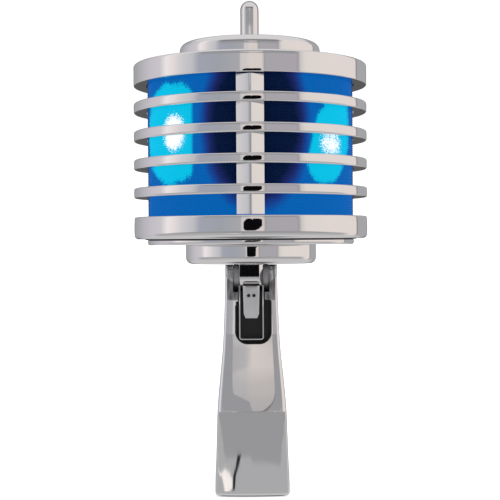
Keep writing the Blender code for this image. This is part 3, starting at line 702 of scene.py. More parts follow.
def make_spines():
    low, high = box_mm("spine_rear")
    for name, side in (("spine_front", -1.0), ("spine_rear", 1.0)):
        outline = [(high.x, side * low.y), (-high.x, side * low.y)]
        for step in range(41):
            across = high.x * (step / 20.0 - 1.0)
            outline.append((across, side * spine_face(across, high.y)))
        finish(smooth(prism(f"polished_{name}", outline, low.z, high.z)), CHROME, "chrome", "head", name)


def make_cap():
    low, high = box_mm("cap")
    inner = high.x - CAP_WALL
    ceiling = high.z - CAP_WALL
    corners = [(high.x, high.z), (high.x, low.z), (inner, low.z), (inner, ceiling), (STUD_HOLE, ceiling),
               (STUD_HOLE, high.z)]
    cap = turned_ring("polished_cap", corners, [CAP_ROUND, 0.35, 0.2, 1.0, 0.0, 0.2], steps=10)
    finish(cap, CHROME, "chrome", "head", "cap")


def make_finial():
    """Domed post on a stud, with a shallow turned groove at its foot."""
    low, high = box_mm("finial")
    foot = box_mm("cap")[1].z + CLEARANCE
    radius = high.x
    outline = dome(radius, high.z, 12)
    outline += [(radius, foot + 1.5), (radius - 0.25, foot + 1.3), (radius - 0.25, foot + 0.9),
                (radius, foot + 0.7), (radius, foot + 0.25), (radius - 0.2, foot), (STUD_RADIUS, foot),
                (STUD_RADIUS, low.z + 0.3), (STUD_RADIUS - 0.3, low.z), (0.0, low.z)]
    outline = spread(outline, RING_SPACING, closed=False)
    post = lathe("polished_finial", outline, SMALL_SEGMENTS, closed=False)
    finish(post, RIM_SHADED_CHROME, "chrome", "head", "finial")


def make_base_plate():
    low, high = box_mm("base_plate")
    corners = [(high.x, high.z), (high.x, low.z), (STEM_HOLE, low.z), (STEM_HOLE, high.z)]
    plate = turned_ring("polished_base_plate", corners, [0.3, 0.7, 0.2, 0.2])
    finish(plate, CHROME, "chrome", "head", "base_plate")


def make_joint_shade_ring():
    """Thin black ring that fills the joint between the base ring, the screen and the base plate: a dark piece
    that paints the shadow in the gap.
    """
    high = box_mm("base_ring")[0].z - 0.01
    low = box_mm("base_plate")[1].z + 0.01
    outer = RING_BORE + 0.6
    inner = outer - JOINT_SHADE_WIDTH
    corners = [(outer, high), (outer, low), (inner, low), (inner, high)]
    gasket = lathe("base_joint_shade_ring", spread(corners, 1.0), RING_SEGMENTS)
    finish(gasket, BLACK, "black_plastic", "head")


def make_boss():
    low, high = box_mm("lower_boss")
    high.z = box_mm("base_plate")[0].z - 0.02
    corners = [(high.x, high.z), (high.x, low.z), (STEM_HOLE, low.z), (STEM_HOLE, high.z)]
    boss = turned_ring("polished_boss", corners, [0.3, BOSS_ROUND, 0.3, 0.2], steps=8)
    seats = []
    for number in (1, 2, 3):
        head_low, head_high = box_mm(f"rod_screw_{number}")
        middle = (head_low + head_high) * 0.5
        reach = (head_high.x - head_low.x) * 0.5 + CLEARANCE
        under, seat, over = low.z - 2.0, low.z + ROD_SEAT_DEPTH, high.z + 2.0
        drill = [(0.0, under), (reach, under), (reach, seat), (ROD_HOLE, seat), (ROD_HOLE, over), (0.0, over)]
        seats.append(lathe("drill", drill, FINE_SEGMENTS, at=(middle.x, middle.y, 0.0), closed=False))
    smooth(boolean(boss, seats), 30.0)
    finish(boss, CHROME, "chrome", "head", "lower_boss")


def make_mesh_screen():
    """Wire screen: upright wires inside, and level wires round them."""
    low, high = box_mm("mesh_screen")
    half = MESH_WIRE * 0.5
    outer = high.x - half
    rise = high.z - low.z - 2.0 * MESH_WIRE
    count = int(rise / MESH_PITCH)
    bm = bmesh.new()
    for row in range(count + 1):
        height = low.z + MESH_WIRE + row * rise / count
        section = [(outer + half, height), (outer - half * 0.5, height - half),
                   (outer - half * 0.5, height + half)]
        loops = [add_loop(bm, circle(radius, level, MESH_SEGMENTS)) for radius, level in section]
        bridge(bm, loops, closed=True)
    inner = outer - MESH_WIRE * 0.9
    for column in range(MESH_COLUMNS):
        turn = 360.0 * column / MESH_COLUMNS
        spoke = Vector(unit(turn))
        aside = Vector(unit(turn + 90.0)) * half
        middle = spoke * inner
        corners = [middle + spoke * half, middle + aside, middle - spoke * half, middle - aside]
        ends = [add_loop(bm, [(*corner, level) for corner in corners]) for level in (low.z, high.z)]
        bridge(bm, ends)
        close_ends(bm, ends)
    finish(add_piece(bm, "wire_screen"), BLUE_WIRE, "blue_mesh", "head", "mesh_screen")


def make_liner():
    low, high = box_mm("acoustic_liner")
    inner = high.x - LINER_WALL
    corners = [(high.x, high.z), (high.x, low.z), (inner, low.z), (inner, high.z)]
    # The liner emits the screen's colour: lamp glow with painted reflections and painted shade in it
    liner = lathe("painted_glow_cloth", spread(corners, 8.0), RING_SEGMENTS)
    finish(liner, PAINTED_LIGHT_CLOTH, "cloth", "head", "acoustic_liner")


# ---------------------------------------------------------------- tilt joint

def make_tongue():
    """Rounded tab on the pivot, with the stem that holds the head. Its front right edge is cut off at a
    slant."""
    low, high = box_mm("hinge_tongue")
    half = high.x
    axis_z = low.z + high.y
    radius = high.y
    top = box_mm("lower_boss")[0].z - CLEARANCE
    flat = axis_z + 0.4
    outline = [(radius, flat), (radius, top), (-radius, top), (-radius, flat)]
    for angle in range(180, 361, 4):
        deep, up = unit(angle)
        outline.append((radius * deep, axis_z + radius * up))
    tongue = prism("tongue", outline, -half, half, "X")
    edge = [(half - 1.7, -radius - 0.5), (half + 1.0, -radius - 0.5), (half + 1.0, -radius + 2.2)]
    edge = prism("edge", edge, axis_z - 10.0, top + 5.0)
    foot = axis_z + 3.0
    profile = [(0.0, foot), (TONGUE_STEM, foot), (TONGUE_STEM, high.z - 0.3), (TONGUE_STEM - 0.3, high.z),
               (0.0, high.z)]
    stem = lathe("stem", profile, FINE_SEGMENTS, closed=False)
    reach = half * 2.0
    profile = [(0.0, -reach), (PIVOT_HOLE, -reach), (PIVOT_HOLE, reach), (0.0, reach)]
    hole = lathe("hole", profile, FINE_SEGMENTS, "X", (0.0, 0.0, axis_z), closed=False)
    boolean(tongue, [stem], "UNION")
    boolean(tongue, [hole, edge])
    finish(bevelled(smooth(tongue, 30.0), 0.35), CHROME, "chrome", "head", "hinge_tongue")


def make_pivot():
    """Bolt head and nut with a driver slot each, flush in the cheeks."""
    low, high = box_mm("pivot_nut")
    end = box_mm("pivot_bolt")[1].x
    axis_z = (low.z + high.z) * 0.5
    radius = high.y
    at = (0.0, 0.0, axis_z)
    bolt_outline = [(0.0, end), (PIVOT_SHANK - 0.2, end), (PIVOT_SHANK, end - 0.2), (PIVOT_SHANK, -low.x),
                    (radius, -low.x), (radius, -high.x + 0.3), (radius - 0.3, -high.x), (0.0, -high.x)]
    nut_outline = [(0.0, high.x), (radius - 0.3, high.x), (radius, high.x - 0.3), (radius, low.x),
                   (0.0, low.x)]
    for name, outline, side in (("pivot_bolt", bolt_outline, -1.0), ("pivot_nut", nut_outline, 1.0)):
        piece = lathe(f"polished_{name}", outline, FINE_SEGMENTS, "X", at, closed=False)
        near, far = sorted((side * (high.x - SLOT_DEPTH), side * (high.x + 2.0)))
        half = SLOT_WIDTH * 0.5
        slot = block("driver_slot", (near, -half, axis_z - 6.0), (far, half, axis_z + 6.0))
        smooth(boolean(piece, [slot]), 30.0)
        finish(piece, CHROME, "chrome", "stand", name)


def make_washers():
    """Steel washers with rounded rims, close between the tongue and the cheeks."""
    inner = box_mm("hinge_tongue")[1].x + 0.05
    for name, side in (("left", -1.0), ("right", 1.0)):
        low, high = box_mm(f"friction_washer_{name}")
        axis_z = (low.z + high.z) * 0.5
        near, far = sorted((side * inner, side * (CHEEK_INNER_X - 0.05)))
        corners = [(high.y, near), (high.y, far), (PIVOT_HOLE, far), (PIVOT_HOLE, near)]
        outline = rounded(corners, [0.35, 0.35, 0.1, 0.1])
        washer = lathe(f"friction_washer_{name}_turned", outline, 72, "X", (0.0, 0.0, axis_z))
        finish(washer, DARK_STEEL, "steel", "stand", f"friction_washer_{name}")


# ---------------------------------------------------------------- stand

def soft_least(first, second, blend):
    """The smaller of two numbers, with a soft change from one to the other."""
    share = min(1.0, max(0.0, 0.5 + 0.5 * (second - first) / blend))
    return second * (1.0 - share) + first * share - blend * share * (1.0 - share)


def width_at(height):
    """Half width at a height, on a smooth curve through the given widths."""
    heights, widths = np.array(STAND_WIDTHS).T
    slopes = np.gradient(widths, heights)
    index = min(int(np.searchsorted(heights, height, side="right")) - 1, len(heights) - 2)
    span = heights[index + 1] - heights[index]
    share = (height - heights[index]) / span
    width = (2.0 * share ** 3 - 3.0 * share ** 2 + 1.0) * widths[index]
    width += (share ** 3 - 2.0 * share ** 2 + share) * span * slopes[index]
    width += (3.0 * share ** 2 - 2.0 * share ** 3) * widths[index + 1]
    width += (share ** 3 - share ** 2) * span * slopes[index + 1]
    return float(width)


def depth_at(height):
    """Half depth at a height: the foot's, less what the slopes up to there add up to."""
    depth = FOOT_DEPTH
    for (low, start), (high, end) in zip(DEPTH_SLOPES, DEPTH_SLOPES[1:]):
        reach = min(height, high) - low
        if reach > 0.0:
            here = start + (end - start) * reach / (high - low)
            depth -= reach * (start + here) * 0.5
    return depth


def stand_section(height, axis_z, top):
    """Square section with tight corners and a bowed front and back. It is drawn in at the foot's edge, and
    where the cheeks slope over the pivot."""
    half_width = width_at(height)
    half_depth = depth_at(height)
    inset = 0.0
    if height < FOOT_ROUND:
        inset = FOOT_ROUND * (1.0 - math.sqrt(1.0 - (1.0 - height / FOOT_ROUND) ** 2))
    slope = CHEEK_BEVEL_REACH - (height - axis_z)
    half_depth = soft_least(half_depth, slope, 1.6)
    if height > top - 1.0:
        half_depth -= 0.6 * (1.0 - math.sqrt(1.0 - (height - top + 1.0) ** 2))
    half_width -= inset
    half_depth -= inset
    ring = []
    for step in range(STAND_SEGMENTS):
        across, deep = unit(360.0 * (step + 0.5) / STAND_SEGMENTS)
        total = abs(across) ** STAND_SQUARENESS + abs(deep) ** STAND_SQUARENESS
        across, deep = (part * total ** (-1.0 / STAND_SQUARENESS) for part in (across, deep))
        ring.append((half_width * across, half_depth * deep * (1.0 - STAND_BOW * across * across)))
    return ring


def stand_levels(top, cheek_foot):
    """Heights of the stand's sections: close together at the foot's edge, in the cheeks and at creases."""
    heights = [FOOT_ROUND * (1.0 - unit(angle)[0]) for angle in range(0, 90, 15)]
    count = int((cheek_foot - FOOT_ROUND) / STAND_LEVEL)
    heights += [FOOT_ROUND + (cheek_foot - FOOT_ROUND) * step / count for step in range(count + 1)]
    heights += [cheek_foot + (top - cheek_foot) * step / 20.0 for step in range(1, 21)]
    for crease, _ in DEPTH_SLOPES[1:-2]:
        heights += [crease + offset for offset in (-0.3, -0.1, 0.0, 0.1, 0.3)]
    return sorted(set(min(round(height, 2), top) for height in heights))


def loft_stand(top, axis_z):
    bm = bmesh.new()
    loops = []
    for height in stand_levels(top, axis_z - 4.0):
        section = stand_section(height, axis_z, top)
        loops.append(add_loop(bm, [(x, y, height) for x, y in section]))
    bridge(bm, loops)
    close_ends(bm, loops)
    return add_piece(bm, "polished_stand")


def pocket_outline(inset, neck_inset):
    """Front view of the switch pocket, drawn in by an inset: narrow round the switch's frame at the top, then
    wide, with a well rounded bottom."""
    low, high = POCKET_Z[0] + inset, POCKET_Z[1] - neck_inset
    left, right = POCKET_LEFT + inset, POCKET_RIGHT - inset
    left_step, right_step = POCKET_LEFT_STEP_Z - inset, POCKET_RIGHT_STEP_Z - inset
    neck = POCKET_NECK_HALF_WIDTH - neck_inset
    corner = POCKET_CORNER - inset
    corners = [(neck, high), (neck, right_step), (right, right_step), (right, low), (left, low),
               (left, left_step), (-neck, left_step), (-neck, high)]
    return rounded(corners, [0.0, 0.3, 0.8, corner, corner, 0.8, 0.3, 0.0], steps=10)


def make_stand():
    """Flared neck with its two cheeks, cut for the switch, the pivot, the thread insert and the connector."""
    nut_low, nut_high = box_mm("pivot_nut")
    axis_z = (nut_low.z + nut_high.z) * 0.5
    shell_low, shell_high = box_mm("connector_shell")
    plug_at = (0.0, 0.0, (shell_low.z + shell_high.z) * 0.5)
    body = loft_stand(box_mm("stand_body")[1].z, axis_z)
    near, far = COLLAR_Y
    corners = [(0.0, near), (COLLAR_RADIUS, near), (COLLAR_RADIUS, far), (0.0, far)]
    outline = rounded(corners, [0.0, 0.0, 1.0, 0.0])
    collar = lathe("collar", outline, ROUND_SEGMENTS, "Y", plug_at, closed=False)
    boolean(body, [collar], "UNION")
    wide = nut_high.y + CLEARANCE
    seat = nut_low.x - CLEARANCE
    pivot = [(0.0, FAR), (wide, FAR), (wide, seat), (PIVOT_HOLE, seat), (PIVOT_HOLE, -seat), (wide, -seat),
             (wide, -FAR), (0.0, -FAR)]
    top = box_mm("thread_insert")[1].z + CLEARANCE
    wide = box_mm("thread_insert")[1].x + CLEARANCE
    insert = [(0.0, -FAR), (wide, -FAR), (wide, top), (0.0, top)]
    wide = shell_high.x + CLEARANCE
    seat = shell_low.y - CLEARANCE
    plug = [(0.0, seat), (wide, seat), (wide, FAR * 2.0), (0.0, FAR * 2.0)]
    slot = [(y, axis_z + rise) for y, rise in CHEEK_SLOT]
    boolean(body, [
        prism("cheek_slot", slot, -CHEEK_INNER_X, CHEEK_INNER_X, "X"),
        prism("pocket", pocket_outline(0.0, 0.0), -FAR, POCKET_BACK_Y, "Y"),
        lathe("pivot", pivot, SMALL_SEGMENTS, "X", (0.0, 0.0, axis_z), closed=False),
        lathe("insert", insert, ROUND_SEGMENTS, closed=False),
        lathe("plug", plug, ROUND_SEGMENTS, "Y", plug_at, closed=False),
    ])
    finish(bevelled(smooth(body, 30.0), 0.22, segments=2), CHEEK_SHADED_CHROME, "chrome", "stand", "stand_body")


def make_switch():
    """Black lining of the pocket, and the bright channel that the slider runs in. The lining is the switch's
    back plate with walls round the pocket, dark walls that paint the shade deep in the pocket.
    """
    plate_low, plate_high = box_mm("switch_plate")
    tray = prism("switch_shade_lining", pocket_outline(0.03, 0.05), LINING_FRONT_Y, plate_high.y, "Y")
    hollow = prism("hollow", pocket_outline(LINING_AND_CHANNEL_WALL, 0.0), -FAR, plate_low.y, "Y")
    boolean(tray, [hollow])
    finish(smooth(tray, 30.0), BLACK, "black_plastic", "stand", "switch_plate")
    low, high = box_mm("switch_frame")
    left, right, floor = low.x + LINING_AND_CHANNEL_WALL, high.x - LINING_AND_CHANNEL_WALL, low.z + LINING_AND_CHANNEL_WALL
    corners = [(high.x, high.z), (high.x, low.z), (low.x, low.z), (low.x, high.z), (left, high.z),
               (left, floor), (right, floor), (right, high.z)]
    outline = rounded(corners, [0.0, 1.0, 1.0, 0.0, 0.0, 0.6, 0.6, 0.0])
    channel = prism("polished_switch_frame", outline, low.y, high.y, "Y")
    finish(bevelled(smooth(channel), 0.12), CHROME, "chrome", "stand", "switch_frame")


def make_slider():
    """Tapered slider: raised side rims, a sloped recess in its upper part and two dark pips."""
    low, high = box_mm("switch_slider")
    wide = high.x
    narrow = wide - SLIDER_TAPER
    front = low.y + 0.1
    face = front + 0.3
    shoulder = low.z + SLIDER_SHOULDER
    over = high.z + 1.0
    outline = [(wide, high.z), (-wide, high.z), (-wide + 0.25, shoulder), (-narrow, low.z), (narrow, low.z),
               (wide - 0.25, shoulder)]
    slider = prism("slider_block", outline, front, high.y, "Y")
    cutters = []
    inner = wide - SLIDER_RIM
    recess = [(inner, over), (-inner, over), (-inner + 0.2, shoulder + 0.4), (-narrow + 0.1, low.z - 1.0),
              (narrow - 0.1, low.z - 1.0), (inner - 0.2, shoulder + 0.4)]
    cutters.append(prism("recess", recess, -FAR, face, "Y"))
    foot = high.z - SLIDER_SLOPE
    slope = [(-FAR, foot), (face, foot), (face + 0.9, over), (-FAR, over)]
    cutters.append(prism("slope", slope, -wide + 1.0, wide - 1.0, "X"))
    for side in (-1.0, 1.0):
        middle, outer = side * (inner - 0.03), side * (wide + SLIDER_RIM)
        corners = [(middle, front - 0.02), (outer, front + 0.7), (outer, front - 0.02)]
        cutters.append(prism("edge", corners, low.z - 1.0, over))
    boolean(slider, cutters)
    finish(bevelled(slider, 0.08), GREY_STEEL, "steel", "slider", "switch_slider")
    back = face + 0.1
    outline = [(0.0, low.y), (PIP_RADIUS - 0.2, low.y + 0.05), (PIP_RADIUS, low.y + 0.25), (PIP_RADIUS, back),
               (0.0, back)]
    for name, across in (("left", -PIP_X), ("right", PIP_X)):
        at = (across, 0.0, low.z + PIP_HEIGHT)
        pip = lathe(f"slider_pip_{name}", outline, PIP_SEGMENTS, "Y", at, closed=False)
        finish(pip, BLACK, "black_plastic", "slider")


def thread_bend(height):
    """Cuts one turn of a V thread at a height of the insert's bore."""
    def bend(turn, radius):
        phase = (height / THREAD_PITCH - turn / 360.0) % 1.0
        return radius + THREAD_DEPTH * abs(2.0 * phase - 1.0)
    return bend


def make_thread_insert():
    """Threaded bush for a stand's screw, with a real helix cut in its bore."""
    low, high = box_mm("thread_insert")
    outside = [(INSERT_BORE + 0.4, high.z), (high.x - 0.3, high.z), (high.x, high.z - 0.3),
               (high.x, low.z + 0.3), (high.x - 0.3, low.z), (INSERT_BORE + 0.6, low.z)]
    bm = bmesh.new()
    loops = [add_loop(bm, circle(radius, height, ROUND_SEGMENTS)) for radius, height in outside]
    samples = int((high.z - low.z) / THREAD_PITCH * 6.0)
    for row in range(samples + 1):
        height = low.z + 0.1 + (high.z - low.z - 0.2) * row / samples
        loops.append(add_loop(bm, circle(INSERT_BORE, height, ROUND_SEGMENTS, thread_bend(height))))
    bridge(bm, loops, closed=True)
    finish(smooth(add_piece(bm, "brass_insert"), 50.0), BRASS, "brass", "stand", "thread_insert")


def make_pin(number):
    """Round-ended contact. Gives the cutter for its hole in the insulator."""
    low, high = box_mm(f"connector_pin_{number}")
    middle = (low + high) * 0.5
    at = (middle.x, 0.0, middle.z)
    radius = (high.x - low.x) * 0.5
    outline = dome(radius, high.y, 8) + [(radius, low.y + 0.2), (radius - 0.2, low.y), (0.0, low.y)]
    pin = lathe(f"contact_pin_{number}", outline, PIN_SEGMENTS, "Y", at, closed=False)
    finish(pin, PIN, "pin", "stand", f"connector_pin_{number}")
    reach = radius + CLEARANCE
    seat = low.y - CLEARANCE
    return lathe("hole", [(0.0, seat), (reach, seat), (reach, FAR), (0.0, FAR)], PIN_SEGMENTS, "Y", at,
                 closed=False)


def make_connector():
    low, high = box_mm("connector_shell")
    at = (0.0, 0.0, (low.z + high.z) * 0.5)
    corners = [(high.x, high.y), (high.x, low.y), (SHELL_BORE, low.y), (SHELL_BORE, high.y)]
    outline = spread(rounded(corners, [0.35, 0.0, 0.0, 0.35]), 1.0)
    shell = lathe("plug_shell", outline, ROUND_SEGMENTS, "Y", at)
    finish(shell, CHROME, "chrome", "stand", "connector_shell")
    low, high = box_mm("connector_insulator")
    corners = [(0.0, low.y), (high.x, low.y), (high.x, high.y), (0.0, high.y)]
    outline = rounded(corners, [0.0, 0.3, 0.4, 0.0])
    insulator = lathe("plug_insulator", outline, ROUND_SEGMENTS, "Y", at, closed=False)
    smooth(boolean(insulator, [make_pin(number) for number in (1, 2, 3)]), 30.0)
    finish(insulator, BLACK, "black_plastic", "stand", "connector_insulator")


# ---------------------------------------------------------------- pieces kept from the frame

# Starts of node names, the longer of two like starts first
KEPT_FINISHES = (
    ("tie_rod", STEEL), ("rod_screw", STEEL), ("motor", STEEL), ("pole_piece", STEEL),
    ("transformer_can", STEEL), ("magnet", MAGNET), ("transformer_core", MAGNET),
    ("transformer_coil", WINDING), ("ribbon_clamp", BLACK), ("ribbon", FOIL), ("rod_nut", BRASS),
    ("finial_nut", BRASS), ("tongue_nut", BRASS), ("lamp_board", BOARD), ("lamp", LAMP),
)


def paint_kept_nodes():
    """Finishes for the frame's pieces that are shown as they are."""
    for name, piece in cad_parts.items():
        if piece.hide_render:
            continue
        for start, material in KEPT_FINISHES:
            if name.startswith(start):
                piece.material_slots[0].material = material
                break


# ---------------------------------------------------------------- light, floor and camera

# Brightness of the studio's walls by azimuth, as seen from the microphone
STUDIO_WALL = (
    (-180.0, (0.10, 0.10, 0.10)), (-168.0, (0.12, 0.12, 0.12)), (-162.0, (0.38, 0.38, 0.39)),
    (-147.0, (0.43, 0.43, 0.45)), (-116.0, (0.66, 0.63, 0.68)), (-97.0, (0.73, 0.70, 0.73)),
    (-88.0, (1.02, 0.97, 0.97)), (-79.0, (0.95, 0.88, 0.86)), (-71.0, (0.78, 0.76, 0.77)),
    (-57.0, (0.64, 0.64, 0.66)), (-50.0, (0.44, 0.46, 0.53)), (-30.0, (0.42, 0.44, 0.49)),
    (-9.6, (0.48, 0.48, 0.50)), (-8.6, (0.74, 0.71, 0.70)), (-2.5, (0.76, 0.72, 0.70)),
    (-1.0, (0.84, 0.77, 0.72)), (12.4, (0.84, 0.76, 0.71)), (13.2, (0.36, 0.36, 0.38)),
    (15.5, (0.48, 0.47, 0.49)), (45.5, (0.49, 0.46, 0.50)), (47.0, (0.38, 0.38, 0.39)),
    (49.5, (0.74, 0.70, 0.68)), (55.0, (0.88, 0.83, 0.77)), (83.0, (0.93, 0.84, 0.79)),
    (125.5, (0.90, 0.82, 0.78)), (127.0, (0.22, 0.22, 0.23)), (130.0, (0.46, 0.46, 0.47)),
    (161.0, (0.42, 0.42, 0.43)), (168.0, (0.12, 0.12, 0.12)), (180.0, (0.10, 0.10, 0.10)),
)
HIGH_GREY = (0.26, 0.26, 0.27)
PANEL_GREY = (0.38, 0.385, 0.40)
LEDGE_DARK = (0.10, 0.10, 0.11)
CAMERA_BLACK = (0.004, 0.004, 0.005)
CEILING = (0.80, 0.79, 0.79)
TABLE_FAR = (0.38, 0.385, 0.39)
TABLE_NEAR = (0.49, 0.495, 0.50)
FLOOR_PALE = (0.66, 0.65, 0.65)
FLOOR_BELOW = (0.12, 0.12, 0.12)
SHEET_WHITE = (1.15, 1.08, 1.02)
SEAM_BLACK = (0.01, 0.01, 0.01)
# Lower edge of the bright front panel: azimuth and elevation
PANEL_LEDGE = (
    (-50.0, 15.4), (-9.8, 15.4), (-9.0, 13.4), (-7.8, 12.9), (-4.8, 12.5), (-0.9, 11.8), (-0.4, 10.9),
    (0.4, 10.3), (4.8, 10.2), (7.6, 10.9), (10.0, 11.8), (12.1, 13.0), (13.2, 15.4), (50.0, 15.4),
)
# How far the panel fades to grey: elevation and share
PANEL_FADE = (
    (9.9, 0.0), (10.0, 0.68), (12.2, 0.60), (13.5, 0.50), (13.65, 0.35), (13.88, 0.23), (14.05, 0.06),
    (15.4, 0.0),
)
# Right-hand edge of the panel's shaded part: elevation and azimuth
PANEL_SHADE_EDGE = ((13.6, -11.0), (13.88, -4.3), (14.05, -0.3), (14.3, 0.5))
PANEL_SHADE = 0.55
# Top and foot of the dark camera: azimuth and elevation
CAMERA_TOP = (
    (-7.3, 3.8), (-5.8, 5.4), (-4.4, 6.9), (-3.0, 7.3), (0.7, 7.3), (1.5, 6.3), (2.3, 7.3), (8.0, 7.3),
    (11.1, 6.4),
)
CAMERA_FOOT = ((-7.3, -0.6), (-5.6, -2.4), (-4.0, -2.7), (4.0, -2.7), (7.5, -1.4), (11.1, 1.5))
# Far edge of the table's nearer part: azimuth and elevation
TABLE_EDGE = (
    (-60.0, -4.6), (-28.0, -5.2), (-20.0, -6.0), (-13.0, -6.35), (-0.8, -6.4), (0.2, -6.65), (14.0, -6.6),
    (20.0, -6.3), (28.0, -5.5), (60.0, -4.8),
)
# A dark seam on the table, and the two sides of a white sheet beside it: elevation and azimuth
TABLE_SEAM = ((-8.3, -14.0), (-8.1, -10.2), (-7.9, -7.7), (-7.2, -7.5), (-6.8, -6.4), (-6.3, -5.5))
SHEET_RIGHT = ((-8.3, -13.0), (-7.9, -8.4), (-7.4, -8.3), (-7.0, -10.0), (-6.7, -15.0), (-6.4, -58.0))
SHEET_LEFT = ((-8.3, -15.0), (-7.9, -18.0), (-7.4, -21.5), (-6.9, -29.0), (-6.4, -75.0))


def add_panel(graph, room, azimuth, elevation):
    """The front panel: grey high up, fading downwards, shaded on the left and cut off along its ledge."""
    front = graph.step(graph.math("ABSOLUTE", azimuth), 60.0, 45.0)
    room = graph.mix(graph.times(graph.step(elevation, 15.5, 17.0), front), room, HIGH_GREY)
    within = graph.times(graph.step(azimuth, -50.0, -42.0), graph.step(azimuth, 50.0, 42.0))
    room = graph.mix(graph.times(within, graph.track(elevation, PANEL_FADE)), room, PANEL_GREY)
    over = graph.step(elevation, 9.9, 10.1)
    left = graph.step(graph.minus(azimuth, graph.track(elevation, PANEL_SHADE_EDGE)), 0.8, -0.8)
    shade = graph.times(within, left, graph.step(elevation, 15.5, 15.0), over, PANEL_SHADE)
    room = graph.mix(shade, room, PANEL_GREY)
    below = graph.minus(elevation, graph.track(azimuth, PANEL_LEDGE))
    band = graph.times(within, over, graph.step(below, 0.1, -0.1))
    room = graph.mix(band, room, PANEL_GREY)
    line = graph.times(graph.step(below, 0.25, 0.05), graph.step(below, -0.35, -0.15))
    return graph.mix(graph.times(line, band, graph.step(azimuth, 2.5, 5.0)), room, LEDGE_DARK)


def add_camera_shape(graph, room, azimuth, elevation):
    """The dark shape of the camera that the microphone looks at."""
    sides = graph.times(graph.step(azimuth, -7.3, -6.7), graph.step(azimuth, 11.1, 10.5))
    under_top = graph.step(graph.minus(elevation, graph.track(azimuth, CAMERA_TOP)), 0.15, -0.15)
    over_foot = graph.step(graph.minus(elevation, graph.track(azimuth, CAMERA_FOOT)), -0.25, 0.25)
    return graph.mix(graph.times(sides, under_top, over_foot), room, CAMERA_BLACK)


def add_table(graph, room, azimuth, elevation):
    """A grey table, paler near the microphone, with a seam and a sheet on it, and the floor below."""
    front = graph.step(graph.math("ABSOLUTE", azimuth), 115.0, 90.0)
    room = graph.mix(graph.times(front, graph.step(elevation, -2.9, -3.2)), room, TABLE_FAR)
    near = graph.step(graph.minus(elevation, graph.track(azimuth, TABLE_EDGE)), 0.12, -0.12)
    room = graph.mix(graph.times(front, near), room, TABLE_NEAR)
    room = graph.mix(graph.step(elevation, -12.0, -26.0), room, FLOOR_PALE)
    room = graph.mix(graph.step(elevation, -60.0, -78.0), room, FLOOR_BELOW)
    low = graph.times(graph.step(elevation, -6.2, -6.35), graph.step(elevation, -8.6, -8.3))
    right = graph.step(graph.minus(azimuth, graph.track(elevation, SHEET_RIGHT)), 0.4, -0.6)
    left = graph.step(graph.minus(azimuth, graph.track(elevation, SHEET_LEFT)), -1.5, 3.0)
    room = graph.mix(graph.times(low, right, left), room, SHEET_WHITE)
    aside = graph.math("ABSOLUTE", graph.minus(azimuth, graph.track(elevation, TABLE_SEAM)))
    half = graph.math("MULTIPLY_ADD", elevation, 0.18, 1.9)
    seam = graph.step(graph.minus(aside, half), 0.15, -0.15)
    return graph.mix(graph.times(low, seam), room, SEAM_BLACK)


def make_studio():
    """The room that the chrome mirrors: pale and grey panels all round, a pale ceiling and floor, and the
    dark shape of a camera against a bright panel in front."""
    world = bpy.data.worlds.new("studio")
    bpy.context.scene.world = world
    world.use_nodes = True
    graph = Graph(world.node_tree)
    across, deep, up = graph.split(graph.add("ShaderNodeTexCoord").outputs["Generated"])
    azimuth = graph.math("DEGREES", graph.math("ARCTAN2", across, graph.times(deep, -1.0)))
    elevation = graph.math("DEGREES", graph.math("ARCSINE", up))
    stops = [((angle + 180.0) / 360.0, colour) for angle, colour in STUDIO_WALL]
    room = graph.ramp(graph.divide(graph.plus(azimuth, 180.0), 360.0), stops)
    room = add_panel(graph, room, azimuth, elevation)
    room = add_camera_shape(graph, room, azimuth, elevation)
    room = graph.mix(graph.step(elevation, 28.0, 44.0), room, CEILING)
    room = add_table(graph, room, azimuth, elevation)
    graph.link(room, world.node_tree.nodes["Background"].inputs["Color"])


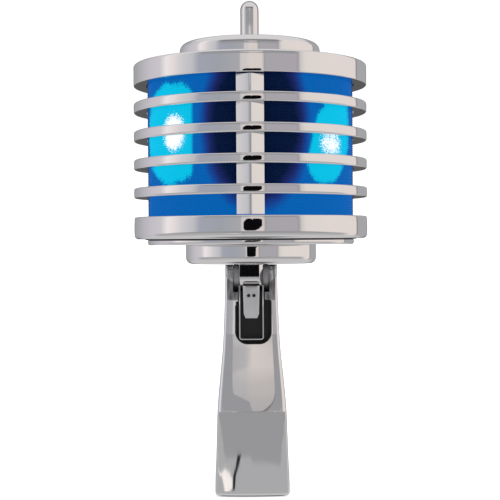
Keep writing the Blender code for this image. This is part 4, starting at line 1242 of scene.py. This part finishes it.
def make_floor():
    """Pale sweep: a flat floor that curves up into a wall all round."""
    outline = [(0.0, -FLOOR_GAP), (300.0, -FLOOR_GAP), (SWEEP_FLAT, -FLOOR_GAP)]
    for angle in range(5, 91, 5):
        across, up = unit(angle - 90.0)
        outline.append((SWEEP_FLAT + SWEEP_CURVE * across, SWEEP_CURVE + SWEEP_CURVE * up - FLOOR_GAP))
    outline.append((SWEEP_FLAT + SWEEP_CURVE, SWEEP_TOP))
    floor = lathe("studio_sweep", outline, ROUND_SEGMENTS, closed=False)
    material, graph = start_material("pale_sweep", Roughness=0.9, Specular_IOR_Level=0.0,
                                     Emission_Color=(1.0, 1.0, 1.0, 1.0), Emission_Strength=0.55)
    graph.feed(Base_Color=graph.mix(graph.noise(60.0), (0.84, 0.84, 0.84), (0.87, 0.87, 0.87)))
    floor.data.materials.append(material)
    floor.visible_glossy = False
    floor.visible_diffuse = False
    floor.visible_shadow = False


def make_light():
    """One wide soft light overhead, which the chrome doesn't mirror."""
    light = bpy.data.lights.new("soft_top", "AREA")
    light.shape = "DISK"
    light.size = 1.4
    light.energy = 12.0
    lamp = bpy.data.objects.new("soft_top", light)
    lamp.location = (0.0, -0.2, 1.5)
    lamp.visible_glossy = False
    bpy.context.scene.collection.objects.link(lamp)


def make_camera():
    """Level, straight in front and close, a little above the middle of the stand's neck."""
    camera_data = bpy.data.cameras.new("camera")
    camera_data.lens = 88.0
    camera_data.sensor_width = 36.0
    camera_data.shift_x = -0.0018
    camera_data.shift_y = -0.02
    camera_data.clip_start = 0.01
    camera_data.clip_end = 20.0
    camera = bpy.data.objects.new("camera", camera_data)
    camera.location = (0.0, -0.441, 0.0903)
    camera.rotation_euler = (math.radians(90.0), math.radians(0.38), 0.0)
    bpy.context.scene.collection.objects.link(camera)
    bpy.context.scene.camera = camera


def main():
    make_camera()
    make_studio()
    make_floor()
    make_light()
    make_cap()
    make_finial()
    make_crown_ring()
    make_fins()
    make_spines()
    make_base_ring()
    make_base_plate()
    make_joint_shade_ring()
    make_boss()
    make_mesh_screen()
    make_liner()
    make_tongue()
    make_washers()
    make_pivot()
    make_stand()
    make_switch()
    make_slider()
    make_thread_insert()
    make_connector()
    paint_kept_nodes()
    bpy.context.scene.view_settings.view_transform = "Standard"


main()
